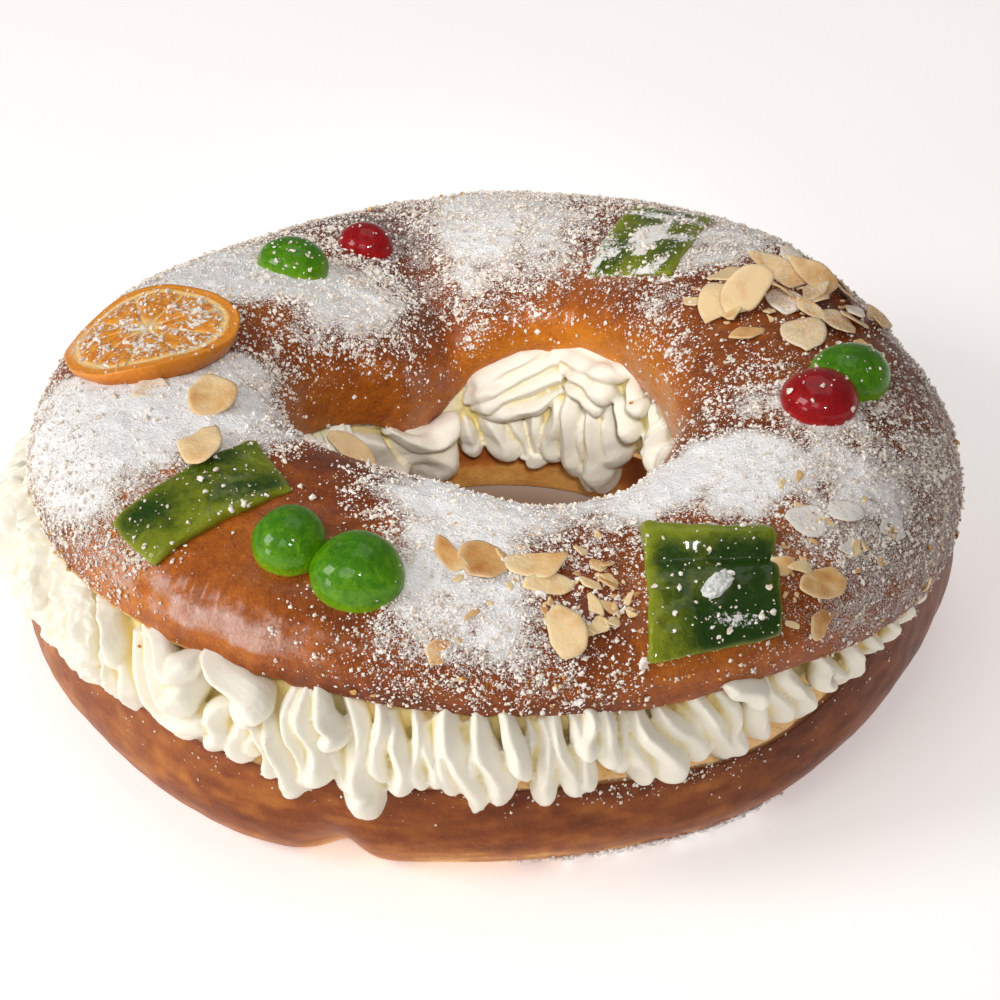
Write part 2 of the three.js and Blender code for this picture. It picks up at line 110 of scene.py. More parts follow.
@dataclass(frozen=True)
class Noise:
    """Smooth seeded unevenness through space, from -1 to 1."""

    size: float
    seed: int = 1

    def at(self, points: Array) -> Array:
        """Reads the noise.

        Args:
            points: places in millimetres, last axis x, y, z.

        Returns:
            One number for each place.
        """
        spots = points / self.size + self.seed * 31.7
        cell = np.floor(spots).astype(np.int64)
        part = spots - cell
        part = part * part * (3.0 - 2.0 * part)
        total = np.zeros(points.shape[:-1])
        for corner in range(8):
            step = np.array([corner & 1, (corner >> 1) & 1, corner >> 2])
            key = cell + step
            code = (key[..., 0] * 73856093) ^ (key[..., 1] * 19349663) ^ (key[..., 2] * 83492791)
            code = ((code ^ (code >> 13)) * 1274126177) & 0x7FFFFFFF
            code = (code ^ (code >> 15)) * 668265263 & 0x7FFFFFFF
            share = np.prod(np.where(step == 1, part, 1.0 - part), axis=-1)
            total += share * (code / 2.0**30 - 1.0)
        return total


@dataclass(frozen=True)
class Wave:
    """A size that changes round the ring: a mean, harmonics and local swells."""

    mean: float
    harmonics: tuple[Triple, ...] = ()
    swells: tuple[Triple, ...] = ()

    def at(self, angle: Array) -> Array:
        """Returns the size at ring angles in degrees."""
        size = np.full(np.shape(angle), self.mean, float)
        for count, height, crest in self.harmonics:
            size = size + height * np.cos(np.radians(count * (angle - crest)))
        for at, width, height in self.swells:
            size = size + height * hump(angle, at, width)
        return size


@dataclass(frozen=True)
class Relief:
    """One swell or crease of the dough."""

    angle: float
    across: float
    wide: float
    deep: float
    height: float
    drift: float = 0.0

    def at(self, angle: Array, across: Array) -> Array:
        """Returns the height that this mark adds at places on the crown."""
        centre = self.angle + self.drift * (across - self.across)
        sideways = turn_between(angle, centre) / self.wide
        return self.height * np.exp(-(sideways**2) - ((across - self.across) / self.deep) ** 2)


@dataclass(frozen=True)
class Spot:
    """A place on the dough with its own axes: x round the ring, y towards the hole, z out."""

    origin: Array
    axes: Array

    def place(self, local: Array) -> Array:
        """Returns points given in the spot's axes as points of the ring."""
        return self.origin + local @ self.axes


@dataclass(frozen=True)
class CrownShape:
    """The crown's form, from the same waves as its solid."""

    outer: Wave = Wave(139.2, ((2, 6, 90), (3, 5.2, -30)), ((42, 26, 4), (-6, 16, 2.5)))
    inner: Wave = Wave(54.2, ((1, 3.2, -69), (2, 4.8, 43), (3, 5.9, -42.5)), ((-72, 26, 9),))
    top: Wave = Wave(87.2, ((1, 6.8, -97), (2, 5.2, 12)), ((-72, 28, -4), (45, 25, 2), (156, 18, 4.5)))
    foot_outer: Wave = Wave(57.5, ((1, 9, -150),), ((-55, 16, 3), (120, 30, -6), (-90, 25, -1.5)))
    foot_inner: Wave = Wave(54, ((1, 4, 0),), ((118, 26, -14), (-165, 40, 9)))
    lean: float = -2.6
    undercut: float = 0.25
    side_power: float = 0.85
    height_power: float = 0.9
    relief: tuple[Relief, ...] = (
        Relief(106, 0.78, 6, 0.26, -5, -22),
        Relief(68, 0.86, 4, 0.2, -3, -5),
        Relief(137, 0.84, 20, 0.2, 3.5),
        Relief(87, 0.74, 10, 0.26, 2),
        Relief(42, 0.8, 18, 0.24, 1.5),
        Relief(-118, 0.17, 12, 0.12, 2.5),
        Relief(-133, 0.38, 8, 0.22, -1.5),
        Relief(-62, 0.28, 9, 0.2, -1.2),
    )

    @property
    def edge(self) -> float:
        """Returns how far past 0 and 1 the crust runs under, as a share of the way across."""
        return self.undercut / math.pi

    def profile(self, angle: Array, across: Array, lift: Array | float = 0.0) -> tuple[Array, Array]:
        """Works out the crown's section.

        Args:
            angle: ring angles in degrees.
            across: places from 0, outside, to 1, at the hole.
            lift: height above the plain crust.

        Returns:
            Radii and heights.
        """
        turn = np.pi * across
        outer, inner = self.outer.at(angle), self.inner.at(angle)
        share = (1.0 - np.cos(np.clip(turn, 0.0, np.pi))) / 2.0
        foot = mix(self.foot_outer.at(angle), self.foot_inner.at(angle), share)
        low = math.sin(self.undercut) ** self.height_power
        rise = (signed_power(np.sin(turn), self.height_power) + low) / (1.0 + low)
        raised = lift + sum(mark.at(angle, across) for mark in self.relief)
        radius = (outer + inner) / 2.0 + (outer - inner) / 2.0 * signed_power(np.cos(turn), self.side_power)
        radius = radius + self.lean * np.sin(turn) + raised * np.cos(turn)
        return radius, foot + (self.top.at(angle) - foot) * rise + raised * np.sin(turn)

    def point(self, angle: Array, across: Array, lift: Array | float = 0.0) -> Array:
        """Returns points of the crown, lifted off the crust."""
        radius, height = self.profile(angle, across, lift)
        return around(angle, radius, height)

    def spot(self, angle: float, across: float) -> Spot:
        """Returns the place and axes of a topping."""
        here = np.array(angle, float)
        inward = self.point(here, across + 0.02) - self.point(here, across - 0.02)
        along = self.point(here + 1.5, across) - self.point(here - 1.5, across)
        inward = unit(inward)
        up = unit(np.cross(unit(along), inward))
        return Spot(self.point(here, across), np.stack([unit(np.cross(inward, up)), inward, up]))

    def walk(self, angle: float, across: float, turn: float, x: Array, y: Array) -> tuple[Array, Array]:
        """Walks straight over the dough from a place, in short strides.

        Args:
            angle: ring angle of the start, in degrees.
            across: place across the crown of the start.
            turn: how far the topping is turned, in degrees.
            x: millimetres round the ring before the turn.
            y: millimetres towards the hole before the turn.

        Returns:
            Angles and places across that are reached.
        """
        strides, step = 10, 0.01
        cos, sin = math.cos(math.radians(turn)), math.sin(math.radians(turn))
        local = np.stack([x * cos - y * sin, x * sin + y * cos, 0.0 * x], axis=-1)
        stride = np.linalg.norm(local, axis=-1) / strides
        heading = unit(local) @ self.spot(angle, across).axes
        angles, places = np.full(x.shape, float(angle)), np.full(x.shape, float(across))
        for _ in range(strides):
            here = self.point(angles, places)
            over_ring = self.point(angles + 1.0, places) - here
            over_side = self.point(angles, places + step) - here
            skew = np.sum(over_ring * over_side, axis=-1)
            ring_sq = np.sum(over_ring**2, axis=-1)
            side_sq = np.sum(over_side**2, axis=-1)
            along = np.sum(heading * over_ring, axis=-1)
            aside = np.sum(heading * over_side, axis=-1)
            area = ring_sq * side_sq - skew**2
            turns = (along * side_sq - aside * skew) / area
            steps = (aside * ring_sq - along * skew) / area
            heading = over_ring * turns[..., None] + over_side * steps[..., None]
            length = np.maximum(np.linalg.norm(heading, axis=-1), 1e-9)
            angles = angles + turns * stride / length
            places = places + steps * stride / length * step
            heading = unit(heading)
        return angles, places


@dataclass(frozen=True)
class BaseShape:
    """The base's form, from the same waves as its solid."""

    outer: Wave = Wave(
        137.5, (), ((180, 35, 2), (-120, 16, 4.5), (-75, 28, -3.5), (-38, 18, -5), (-18, 12, -2.5)),
    )
    rim: Wave = Wave(27.3, ((1, 4, -100),), ((-130, 30, 4), (-12, 27, 19), (-55, 12, -3)))
    tuck: Wave = Wave(13, (), ((-20, 35, 9),))
    inner: Wave = Wave(61.5, ((2, 1.5, 20), (3, 1, 80)))
    inner_rim: Wave = Wave(22, ((1, 2, -60),), ((10, 40, 6),))
    belly: float = 2.5
    round_share: float = 0.6
    inner_round: float = 5.0
    cleft_angle: float = -108.4
    cleft_wide: float = 3.2
    cleft_share: float = 0.1
    cleft_tall: float = 0.4
    cleft_depth: float = 8.0

    def side(self, angle: Array, share: Array) -> Array:
        """Returns radii of the outer side at shares of its height."""
        rounding = np.minimum(share / self.round_share, 1.0)
        tuck = self.tuck.at(angle) * (1.0 - np.sqrt(np.clip(1.0 - (1.0 - rounding) ** 2, 0.0, 1.0)))
        cleft = turn_between(angle, self.cleft_angle) / self.cleft_wide
        low = (share - self.cleft_share) / self.cleft_tall
        notch = self.cleft_depth * np.exp(-(cleft**2) - low**2)
        return self.outer.at(angle) + self.belly * np.sin(np.pi * share) - tuck - notch


CROWN = CrownShape()
BASE = BaseShape()


@dataclass
class Skin:
    """Corners and faces of one form, with numbers for its corners under names."""

    corners: Array
    faces: list[Array]
    marks: dict[str, Array] = field(default_factory=dict)

    @staticmethod
    def joined(skins: Sequence["Skin"]) -> "Skin":
        """Returns one skin that holds all the given ones."""
        corners, faces, shift = [], [], 0
        marks: dict[str, list[Array]] = {name: [] for name in skins[0].marks}
        for skin in skins:
            corners.append(skin.corners)
            faces.extend(part + shift for part in skin.faces)
            shift += len(skin.corners)
            for name, values in marks.items():
                values.append(skin.marks[name])
        return Skin(np.concatenate(corners), faces, {n: np.concatenate(v) for n, v in marks.items()})

    def make(self, name: str, material: bpy.types.Material, smooth: bool = True) -> bpy.types.Object:
        """Makes the Blender object.

        Args:
            name: the piece's name.
            material: its finish.
            smooth: whether its faces are shaded as one round surface.

        Returns:
            The object, in metres in the frame of the solids.
        """
        mesh = bpy.data.meshes.new(name)
        places = ((self.corners + RING_MIDDLE) * MM).tolist()
        mesh.from_pydata(places, [], [face for part in self.faces for face in part.tolist()])
        for label, values in self.marks.items():
            layer = mesh.attributes.new(label, "FLOAT", "POINT")
            layer.data.foreach_set("value", np.ascontiguousarray(values, np.float32))
        mesh.polygons.foreach_set("use_smooth", [smooth] * len(mesh.polygons))
        mesh.materials.append(material)
        mesh.validate()
        mesh.update()
        piece = bpy.data.objects.new(name, mesh)
        bpy.context.scene.collection.objects.link(piece)
        return piece

    def triangles(self) -> Array:
        """Returns the faces as triangles."""
        parts = []
        for part in self.faces:
            parts.extend(part[:, [0, k, k + 1]] for k in range(1, part.shape[1] - 1))
        return np.concatenate(parts)


def dress(piece: bpy.types.Object, slot: Slot, *nodes: str) -> bpy.types.Object:
    """Sets a finished piece on the cake.

    Args:
        piece: the piece.
        slot: the slot of the record; not used.
        nodes: solids that it stands for.

    Returns:
        The piece.
    """
    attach(piece, BODY)
    if nodes:
        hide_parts(*nodes)
    log.info("%s: %d corners, %d faces", piece.name, len(piece.data.vertices), len(piece.data.polygons))
    return piece


def grid_faces(rows: int, columns: int, wrap_rows: bool, wrap_columns: bool) -> Array:
    """Lays four-sided faces over a grid of corners.

    Args:
        rows: rows of corners.
        columns: corners in a row.
        wrap_rows: whether the last row joins the first.
        wrap_columns: whether the last corner of a row joins the first.

    Returns:
        The faces.
    """
    across = np.arange(rows if wrap_rows else rows - 1)[:, None]
    along = np.arange(columns if wrap_columns else columns - 1)[None, :]
    here, below = across * columns, (across + 1) % rows * columns
    beside = (along + 1) % columns
    parts = [here + along, below + along, below + beside, here + beside]
    return np.stack(parts, axis=-1).reshape(-1, 4)


def ball_skin(rows: int, columns: int) -> Skin:
    """Returns a unit ball of rings between two poles, its axis upright."""
    rise = np.pi * (np.arange(1, rows) / rows - 0.5)[:, None]
    turn = (2.0 * np.pi * np.arange(columns) / columns)[None, :]
    flat = np.stack([np.cos(rise) * np.cos(turn), np.cos(rise) * np.sin(turn), np.sin(rise) + 0.0 * turn], -1)
    corners = np.concatenate([flat.reshape(-1, 3), [[0.0, 0.0, -1.0], [0.0, 0.0, 1.0]]])
    k = np.arange(columns)
    after, last = (k + 1) % columns, (rows - 2) * columns
    south = np.stack([np.full(columns, last + columns), after, k], axis=-1)
    north = np.stack([np.full(columns, last + columns + 1), last + k, last + after], axis=-1)
    return Skin(corners, [grid_faces(rows - 1, columns, False, True)[:, ::-1], south, north])


def tube_skin(
    spine: Array, wide: Array, deep: Array, facing: Array, sides: int, pinch: Array | float
) -> Skin:
    """Draws an oval section along a line and closes both ends.

    Args:
        spine: points of the middle line.
        wide: half widths of the section at them.
        deep: half depths of the section at them, along facing.
        facing: directions that the depth is measured along.
        sides: corners of the section.
        pinch: how much narrower the section is at its crest.

    Returns:
        The skin.
    """
    ahead = unit(np.gradient(spine, axis=0))
    out = unit(facing - ahead * np.sum(facing * ahead, axis=-1, keepdims=True))
    side = np.cross(ahead, out)
    turn = 2.0 * np.pi * np.arange(sides) / sides
    narrow = 1.0 - np.reshape(pinch, (-1, 1)) * np.maximum(np.sin(turn), 0.0) ** 2
    ring = side[:, None] * (wide[:, None] * np.cos(turn) * narrow)[..., None]
    ring = ring + out[:, None] * (deep[:, None] * np.sin(turn))[..., None]
    corners = (spine[:, None] + ring).reshape(-1, 3)
    count, k = len(spine), np.arange(sides)
    after, last = (k + 1) % sides, (count - 1) * sides
    ends = np.stack([spine[0] - ahead[0] * deep[0] * 0.5, spine[-1] + ahead[-1] * deep[-1] * 0.5])
    south = np.stack([np.full(sides, last + sides), k, after], axis=-1)
    north = np.stack([np.full(sides, last + sides + 1), last + after, last + k], axis=-1)
    return Skin(np.concatenate([corners, ends]), [grid_faces(count, sides, False, True), south, north])


class Wire:
    """A socket of a finish's sheet that Python sums and products work on."""

    def __init__(self, sheet: "Sheet", socket: bpy.types.NodeSocket) -> None:
        """Keeps the sheet and its socket."""
        self.sheet = sheet
        self.socket = socket

    def math(self, operation: str, *values: "Wire | float") -> "Wire":
        """Returns the result of one sum on values, this wire among them where it is given."""
        settings = {"operation": operation}
        return self.sheet.add("ShaderNodeMath", settings, dict(enumerate(values))).out()

    def __add__(self, other: "Wire | float") -> "Wire":
        """Returns the sum."""
        return self.math("ADD", self, other)

    __radd__ = __add__

    def __sub__(self, other: "Wire | float") -> "Wire":
        """Returns the difference."""
        return self.math("SUBTRACT", self, other)

    def __rsub__(self, other: float) -> "Wire":
        """Returns a number less this wire."""
        return self.math("SUBTRACT", other, self)

    def __mul__(self, other: "Wire | float") -> "Wire":
        """Returns the product."""
        return self.math("MULTIPLY", self, other)

    __rmul__ = __mul__

    def most(self, other: "Wire | float") -> "Wire":
        """Returns the larger of two values."""
        return self.math("MAXIMUM", self, other)

    def step(self, low: float, high: float) -> "Wire":
        """Returns 0 below low, 1 above high and an even rise between them."""
        settings = {"interpolation_type": "SMOOTHSTEP"}
        return self.sheet.add("ShaderNodeMapRange", settings, {0: self, 1: low, 2: high}).out()


class Made:
    """A node that has been added to a sheet."""

    def __init__(self, sheet: "Sheet", node: bpy.types.Node) -> None:
        """Keeps the sheet and its node."""
        self.sheet = sheet
        self.node = node

    def out(self, name: str | int = 0) -> Wire:
        """Returns one of the node's outputs."""
        return Wire(self.sheet, self.node.outputs[name])


class Sheet:
    """The nodes of one finish."""

    def __init__(self, name: str) -> None:
        """Starts an empty material.

        Args:
            name: the material's name.
        """
        self.material = bpy.data.materials.new(name)
        self.material.use_nodes = True
        self.tree = self.material.node_tree
        self.tree.nodes.clear()
        self.place = self.add("ShaderNodeTexCoord").out("Object")

    def add(
        self,
        kind: str,
        settings: Mapping[str, Any] | None = None,
        values: Mapping[str | int, Any] | None = None,
    ) -> Made:
        """Adds a node.

        Args:
            kind: the node's type.
            settings: its own settings; stops are a ramp's places and colours.
            values: numbers, colours or wires for its sockets.

        Returns:
            The node.
        """
        node = self.tree.nodes.new(kind)
        for key, value in (settings or {}).items():
            if key == "stops":
                self.set_stops(node.color_ramp, value)
            else:
                setattr(node, key, value)
        for key, value in (values or {}).items():
            if isinstance(value, Wire):
                self.tree.links.new(value.socket, node.inputs[key])
            else:
                node.inputs[key].default_value = value
        return Made(self, node)

    @staticmethod
    def set_stops(ramp: bpy.types.ColorRamp, stops: Sequence[tuple[float, Color]]) -> None:
        """Sets a ramp's places and colours."""
        while len(ramp.elements) < len(stops):
            ramp.elements.new(0.5)
        for element, (place, color) in zip(ramp.elements, stops):
            element.position = place
            element.color = (*color, 1.0)

    def mark(self, name: str) -> Wire:
        """Returns the number that the mesh's corners carry under a name."""
        return self.add("ShaderNodeAttribute", {"attribute_name": name}).out("Fac")

    def noise(self, size: float, detail: float = 2.0, rough: float = 0.5, warp: float = 0.0) -> Wire:
        """Returns noise from 0 to 1 with cells of a size in millimetres."""
        values = {"Vector": self.place, "Scale": 1.0 / (size * MM), "Detail": detail, "Roughness": rough}
        return self.add("ShaderNodeTexNoise", {}, {**values, "Distortion": warp}).out("Fac")

    def cells(self, size: float) -> Wire:
        """Returns the distance to scattered points, with a spacing in millimetres."""
        values = {"Vector": self.place, "Scale": 1.0 / (size * MM)}
        return self.add("ShaderNodeTexVoronoi", {"feature": "F1"}, values).out("Distance")

    def ramp(self, value: Wire, *stops: tuple[float, Color]) -> Wire:
        """Returns colours that follow a value."""
        return self.add("ShaderNodeValToRGB", {"stops": stops}, {0: value}).out("Color")

    def blend(self, low: Wire | Color, high: Wire | Color, share: Wire | float) -> Wire:
        """Returns a mix of two colours: low at a share of 0, high at a share of 1."""
        parts = [part if isinstance(part, Wire) else (*part, 1.0) for part in (low, high)]
        values = {0: share, 6: parts[0], 7: parts[1]}
        return self.add("ShaderNodeMix", {"data_type": "RGBA"}, values).out(2)

    def bump(self, height: Wire, depth: float, under: Wire | None = None) -> Wire:
        """Returns a bumped normal.

        Args:
            height: relief from 0 to 1.
            depth: its full height in millimetres.
            under: a normal that it lies on.

        Returns:
            The normal.
        """
        values: dict[str | int, Any] = {"Height": height, "Distance": depth * MM, "Strength": 1.0}
        if under is not None:
            values["Normal"] = under
        return self.add("ShaderNodeBump", {}, values).out("Normal")

    def finish(self, **values: Any) -> bpy.types.Material:
        """Closes the sheet with a surface whose sockets have the given values."""
        named = {key.replace("_", " "): value for key, value in values.items()}
        for key, value in named.items():
            if isinstance(value, tuple) and len(value) == 3 and key.endswith("Color"):
                named[key] = (*value, 1.0)
        surface = self.add("ShaderNodeBsdfPrincipled", {}, named)
        self.add("ShaderNodeOutputMaterial", {}, {"Surface": surface.out("BSDF")})
        return self.material


@dataclass(frozen=True)
class CrustFinish:
    """Egg-washed brown crust that sugar has been dusted over, with a painted highlight on its lower
    front-left flank.
    """

    name: str = "glazed_crust"
    dark: Color = (0.085, 0.017, 0.004)
    chestnut: Color = (0.22, 0.048, 0.009)
    amber: Color = (0.43, 0.112, 0.012)
    golden: Color = (0.72, 0.24, 0.018)
    crumb: Color = (0.72, 0.44, 0.16)
    speck: Color = (0.72, 0.66, 0.62)
    thin: Color = (0.52, 0.42, 0.35)
    shaded: Color = (0.90, 0.87, 0.85)
    sugar: Color = (0.97, 0.96, 0.955)
    painted_sheen: Color = (0.70, 0.50, 0.44)

    def build(self) -> bpy.types.Material:
        """Returns the material."""
        sheet = Sheet(self.name)
        blotch = sheet.noise(24.0, 3.0)
        mottle = sheet.noise(4.5, 4.0, 0.65)
        fine = sheet.noise(0.6, 2.0, 0.7)
        tone = sheet.mark("golden") + (blotch - 0.5) * 0.6 + (mottle - 0.5) * 0.7 + (fine - 0.5) * 0.35
        baked = ((0.0, self.dark), (0.3, self.chestnut), (0.62, self.amber), (1.0, self.golden))
        color = sheet.ramp(tone, *baked)
        cut = sheet.mark("crumb").step(0.4, 0.75)
        color = sheet.blend(color, self.crumb, cut)
        wrinkle = sheet.noise(2.0, 3.0, 0.6, 1.6)
        # painted highlight: a paler pinkish tone, broken up by the wrinkles, stands in for a reflection on
        # the lower front-left flank
        painted_sheen_share = (sheet.mark("painted_sheen") * 1.1 + (wrinkle - 0.5) * 1.2 - 0.3).step(0.0, 0.95)
        color = sheet.blend(color, self.painted_sheen, painted_sheen_share * 0.62)
        clumps = sheet.noise(1.7, 3.0, 0.75)
        speckle = sheet.noise(0.42, 1.0, 0.5)
        sugar = sheet.mark("sugar")
        cover = (sugar * 0.74 + 0.18 - (clumps * 0.5 + speckle * 0.5)).step(-0.03, 0.06)
        veil = (sheet.mark("veil") * 0.38 + 0.17 - (speckle * 0.75 + mottle * 0.25)).step(-0.01, 0.05)
        color = sheet.blend(color, self.speck, veil * 0.8)
        white = sheet.blend(self.shaded, self.sugar, (fine * 0.5 + clumps * 0.5).step(0.36, 0.56))
        thin = sheet.blend(self.thin, white, fine.step(0.42, 0.62))
        white = sheet.blend(thin, white, sugar.step(0.45, 0.85))
        color = sheet.blend(color, white, cover)
        gloss = 1.0 - cover.most(veil).most(cut).most(sugar.step(0.1, 0.5))
        normal = sheet.bump(wrinkle * 0.8, 1.0)
        normal = sheet.bump((speckle * 0.4 + clumps * 0.6) * cover.most(veil * 0.7), 0.4, normal)
        return sheet.finish(
            Base_Color=color,
            Roughness=0.42 + (1.0 - gloss) * 0.45 + (mottle - 0.5) * 0.2,
            Specular_IOR_Level=0.1,
            Coat_Weight=gloss * 0.42,
            Coat_Roughness=0.2,
            Normal=normal,
        )


@dataclass(frozen=True)
class BaseFinish:
    """The base's brown side, pale foot and toasted cut face; the cut face also glows faintly, as painted
    light.
    """

    name: str = "base_crust"
    brown: Color = (0.14, 0.028, 0.005)
    russet: Color = (0.265, 0.068, 0.014)
    golden: Color = (0.46, 0.155, 0.027)
    pale: Color = (0.72, 0.38, 0.10)
    crumb: Color = (0.96, 0.73, 0.46)
    hole: Color = (0.78, 0.52, 0.27)

    def build(self) -> bpy.types.Material:
        """Returns the material."""
        sheet = Sheet(self.name)
        blotch = sheet.noise(20.0, 3.0)
        mottle = sheet.noise(3.2, 4.0, 0.65)
        fine = sheet.noise(0.7, 2.0, 0.7)
        tone = sheet.mark("golden") + (blotch - 0.5) * 0.55 + (mottle - 0.5) * 0.4 + (fine - 0.5) * 0.2
        baked = ((0.0, self.brown), (0.35, self.russet), (0.75, self.golden), (1.0, self.pale))
        color = sheet.ramp(tone, *baked)
        holes = sheet.cells(2.2).step(0.1, 0.35)
        cut = sheet.mark("crumb").step(0.35, 0.7)
        bread = sheet.blend(self.hole, self.crumb, holes)
        color = sheet.blend(color, bread, cut)
        flecks = (sheet.mark("sugar") * 1.2 - (fine * 0.6 + mottle * 0.4)).step(0.0, 0.08)
        color = sheet.blend(color, (0.90, 0.87, 0.84), flecks)
        normal = sheet.bump(sheet.noise(2.0, 4.0, 0.6, 0.8) * 0.65 + sheet.cells(1.2) * 0.35, 0.4)
        normal = sheet.bump(holes * cut, 0.5, normal)
        return sheet.finish(
            Base_Color=color,
            Roughness=0.5 + cut * 0.4 + (mottle - 0.5) * 0.2,
            Specular_IOR_Level=0.12,
            Coat_Weight=(1.0 - cut) * 0.25,
            Coat_Roughness=0.28,
            # painted light: the cut face glows faintly warm, lifting it out of the shade under the cream
            Emission_Color=sheet.blend((0.0, 0.0, 0.0), (0.95, 0.62, 0.30), cut),
            Emission_Strength=0.22,
            Normal=normal,
        )


@dataclass(frozen=True)
class CreamFinish:
    """Whipped cream, ivory white with a soft gloss; painted shade turns it a deeper yellow in its creases."""

    name: str = "whipped_cream"
    light: Color = (0.905, 0.865, 0.745)
    deep: Color = (0.85, 0.71, 0.33)

    def build(self) -> bpy.types.Material:
        """Returns the material."""
        sheet = Sheet(self.name)
        # painted shade: the deeper yellow is laid into the cream's creases and recesses
        color = sheet.blend(self.light, self.deep, sheet.mark("hollow_shade").step(0.05, 0.85))
        normal = sheet.bump(sheet.noise(1.3, 4.0, 0.65), 0.16)
        return sheet.finish(
            Base_Color=color,
            Roughness=0.44,
            Specular_IOR_Level=0.3,
            Subsurface_Weight=0.12,
            Subsurface_Radius=(1.0, 0.75, 0.35),
            Subsurface_Scale=0.0015,
            Normal=normal,
        )


@dataclass(frozen=True)
class GlazedFruitFinish:
    """Candied fruit flesh, deep coloured, wet and slightly see-through."""

    name: str
    deep: Color
    light: Color
    edge: Color
    sugar: Color = (0.92, 0.91, 0.87)
    grain: float = 3.0
    roughness: float = 0.3
    relief: float = 0.5

    def build(self) -> bpy.types.Material:
        """Returns the material."""
        sheet = Sheet(self.name)
        veins = sheet.noise(self.grain, 4.0, 0.6, 0.8)
        fine = sheet.noise(0.8, 3.0, 0.7)
        # On the cherries the light and edge marks are painted light, a glow toward the bottom; on the bumpy
        # peel they also paint a glow along one thin border.
        tone = (veins - 0.5) * 0.9 + (fine - 0.5) * 0.4 + sheet.mark("light")
        color = sheet.blend(self.deep, self.light, tone.step(0.0, 1.0))
        color = sheet.blend(color, self.edge, sheet.mark("edge").step(0.0, 1.0))
        clumps = sheet.noise(1.5, 3.0, 0.75)
        cover = (sheet.mark("sugar") * 0.7 + 0.14 - (clumps * 0.6 + fine * 0.4)).step(-0.01, 0.08)
        color = sheet.blend(color, self.sugar, cover * 0.95)
        normal = sheet.bump(sheet.noise(2.4, 4.0) * 0.7 + fine * 0.3, self.relief)
        normal = sheet.bump(clumps * cover, 0.6, normal)
        return sheet.finish(
            Base_Color=color,
            Roughness=self.roughness + cover * 0.6,
            Specular_IOR_Level=0.08,
            Subsurface_Weight=0.3,
            Subsurface_Radius=(1.0, 1.0, 0.4),
            Subsurface_Scale=0.0025,
            Coat_Weight=(1.0 - cover) * 0.45,
            Coat_Roughness=0.08,
            Normal=normal,
        )


@dataclass(frozen=True)
class OrangeFinish:
    """A dried orange slice: rind, membranes and sticky flesh under sugar."""

    name: str = "dried_orange"
    rind: Color = (0.78, 0.28, 0.02)
    membrane: Color = (0.92, 0.62, 0.24)
    flesh: Color = (0.66, 0.19, 0.012)
    glow: Color = (0.84, 0.36, 0.03)
    darker_side: Color = (0.46, 0.12, 0.012)
    sugar: Color = (0.94, 0.88, 0.80)

    def build(self) -> bpy.types.Material:
        """Returns the material."""
        sheet = Sheet(self.name)
        flesh = sheet.blend(self.flesh, self.glow, sheet.noise(2.2, 3.0, 0.6).step(0.35, 0.65))
        color = sheet.blend(flesh, self.membrane, sheet.mark("membrane").step(0.2, 0.9))
        color = sheet.blend(color, self.rind, sheet.mark("rind").step(0.2, 0.8))
        # darker on the slice's side and outer rim, most toward the bottom
        color = sheet.blend(color, self.darker_side, sheet.mark("edge") * 0.75)
        clumps = sheet.noise(1.9, 3.0, 0.7)
        cover = (sheet.mark("sugar") * 0.8 + 0.055 - clumps).step(-0.02, 0.05)
        color = sheet.blend(color, self.sugar, cover)
        normal = sheet.bump(sheet.noise(1.8, 3.0), 0.5)
        normal = sheet.bump(clumps * cover, 0.7, normal)
        return sheet.finish(
            Base_Color=color,
            Roughness=0.35 + cover * 0.5,
            Specular_IOR_Level=0.25,
            Subsurface_Weight=0.25,
            Subsurface_Radius=(1.0, 0.5, 0.2),
            Subsurface_Scale=0.002,
            Coat_Weight=(1.0 - cover) * 0.3,
            Coat_Roughness=0.18,
            Normal=normal,
        )


@dataclass(frozen=True)
class AlmondFinish:
    """Toasted flaked almond: pale yellow to amber with a thin pale rim."""

    name: str = "toasted_almond"
    pale: Color = (0.84, 0.62, 0.34)
    tan: Color = (0.68, 0.38, 0.13)
    amber: Color = (0.45, 0.17, 0.035)
    rim: Color = (0.87, 0.70, 0.46)

    def build(self) -> bpy.types.Material:
        """Returns the material."""
        sheet = Sheet(self.name)
        tint = sheet.mark("toast") + (sheet.noise(5.0, 3.0) - 0.5) * 0.9
        color = sheet.ramp(tint, (0.15, self.pale), (0.55, self.tan), (1.0, self.amber))
        color = sheet.blend(color, self.rim, sheet.mark("edge") * 0.6)
        dust = (sheet.mark("sugar") * 0.6 + 0.2 - sheet.noise(0.6, 2.0, 0.7)).step(-0.03, 0.06)
        color = sheet.blend(color, (0.84, 0.79, 0.75), dust)
        return sheet.finish(
            Base_Color=color,
            Roughness=0.5,
            Specular_IOR_Level=0.3,
            Subsurface_Weight=0.25,
            Subsurface_Radius=(1.0, 0.6, 0.3),
            Subsurface_Scale=0.001,
            Normal=sheet.bump(sheet.noise(1.0, 3.0), 0.25),
        )


@dataclass(frozen=True)
class GrainFinish:
    """Loose sugar or crumbs: a body colour that varies from grain to grain."""

    name: str
    light: Color
    dark: Color
    roughness: float = 0.7
    size: float = 1.6
    glow: float = 0.0

    def build(self) -> bpy.types.Material:
        """Returns the material."""
        sheet = Sheet(self.name)
        color = sheet.blend(self.dark, self.light, sheet.noise(self.size, 1.0).step(0.35, 0.6))
        return sheet.finish(
            Base_Color=color,
            Roughness=self.roughness,
            Specular_IOR_Level=0.2,
            # painted light: a faint glow of the body colour lifts the grains out of their shade
            Emission_Color=color,
            Emission_Strength=self.glow,
        )


@dataclass(frozen=True)
class Patch:
    """A stretch of the crown where sugar fell: its place, half sizes and how thick it lies."""

    angle: float
    across: float
    wide: float
    deep: float
    amount: float

    def at(self, angle: Array, across: Array) -> Array:
        """Returns how thick the sugar of this patch lies at places on the crown."""
        aside = np.abs(turn_between(angle, self.angle) / self.wide)
        inward = np.abs((across - self.across) / self.deep)
        return self.amount * np.exp(-(aside**3) - inward**3)


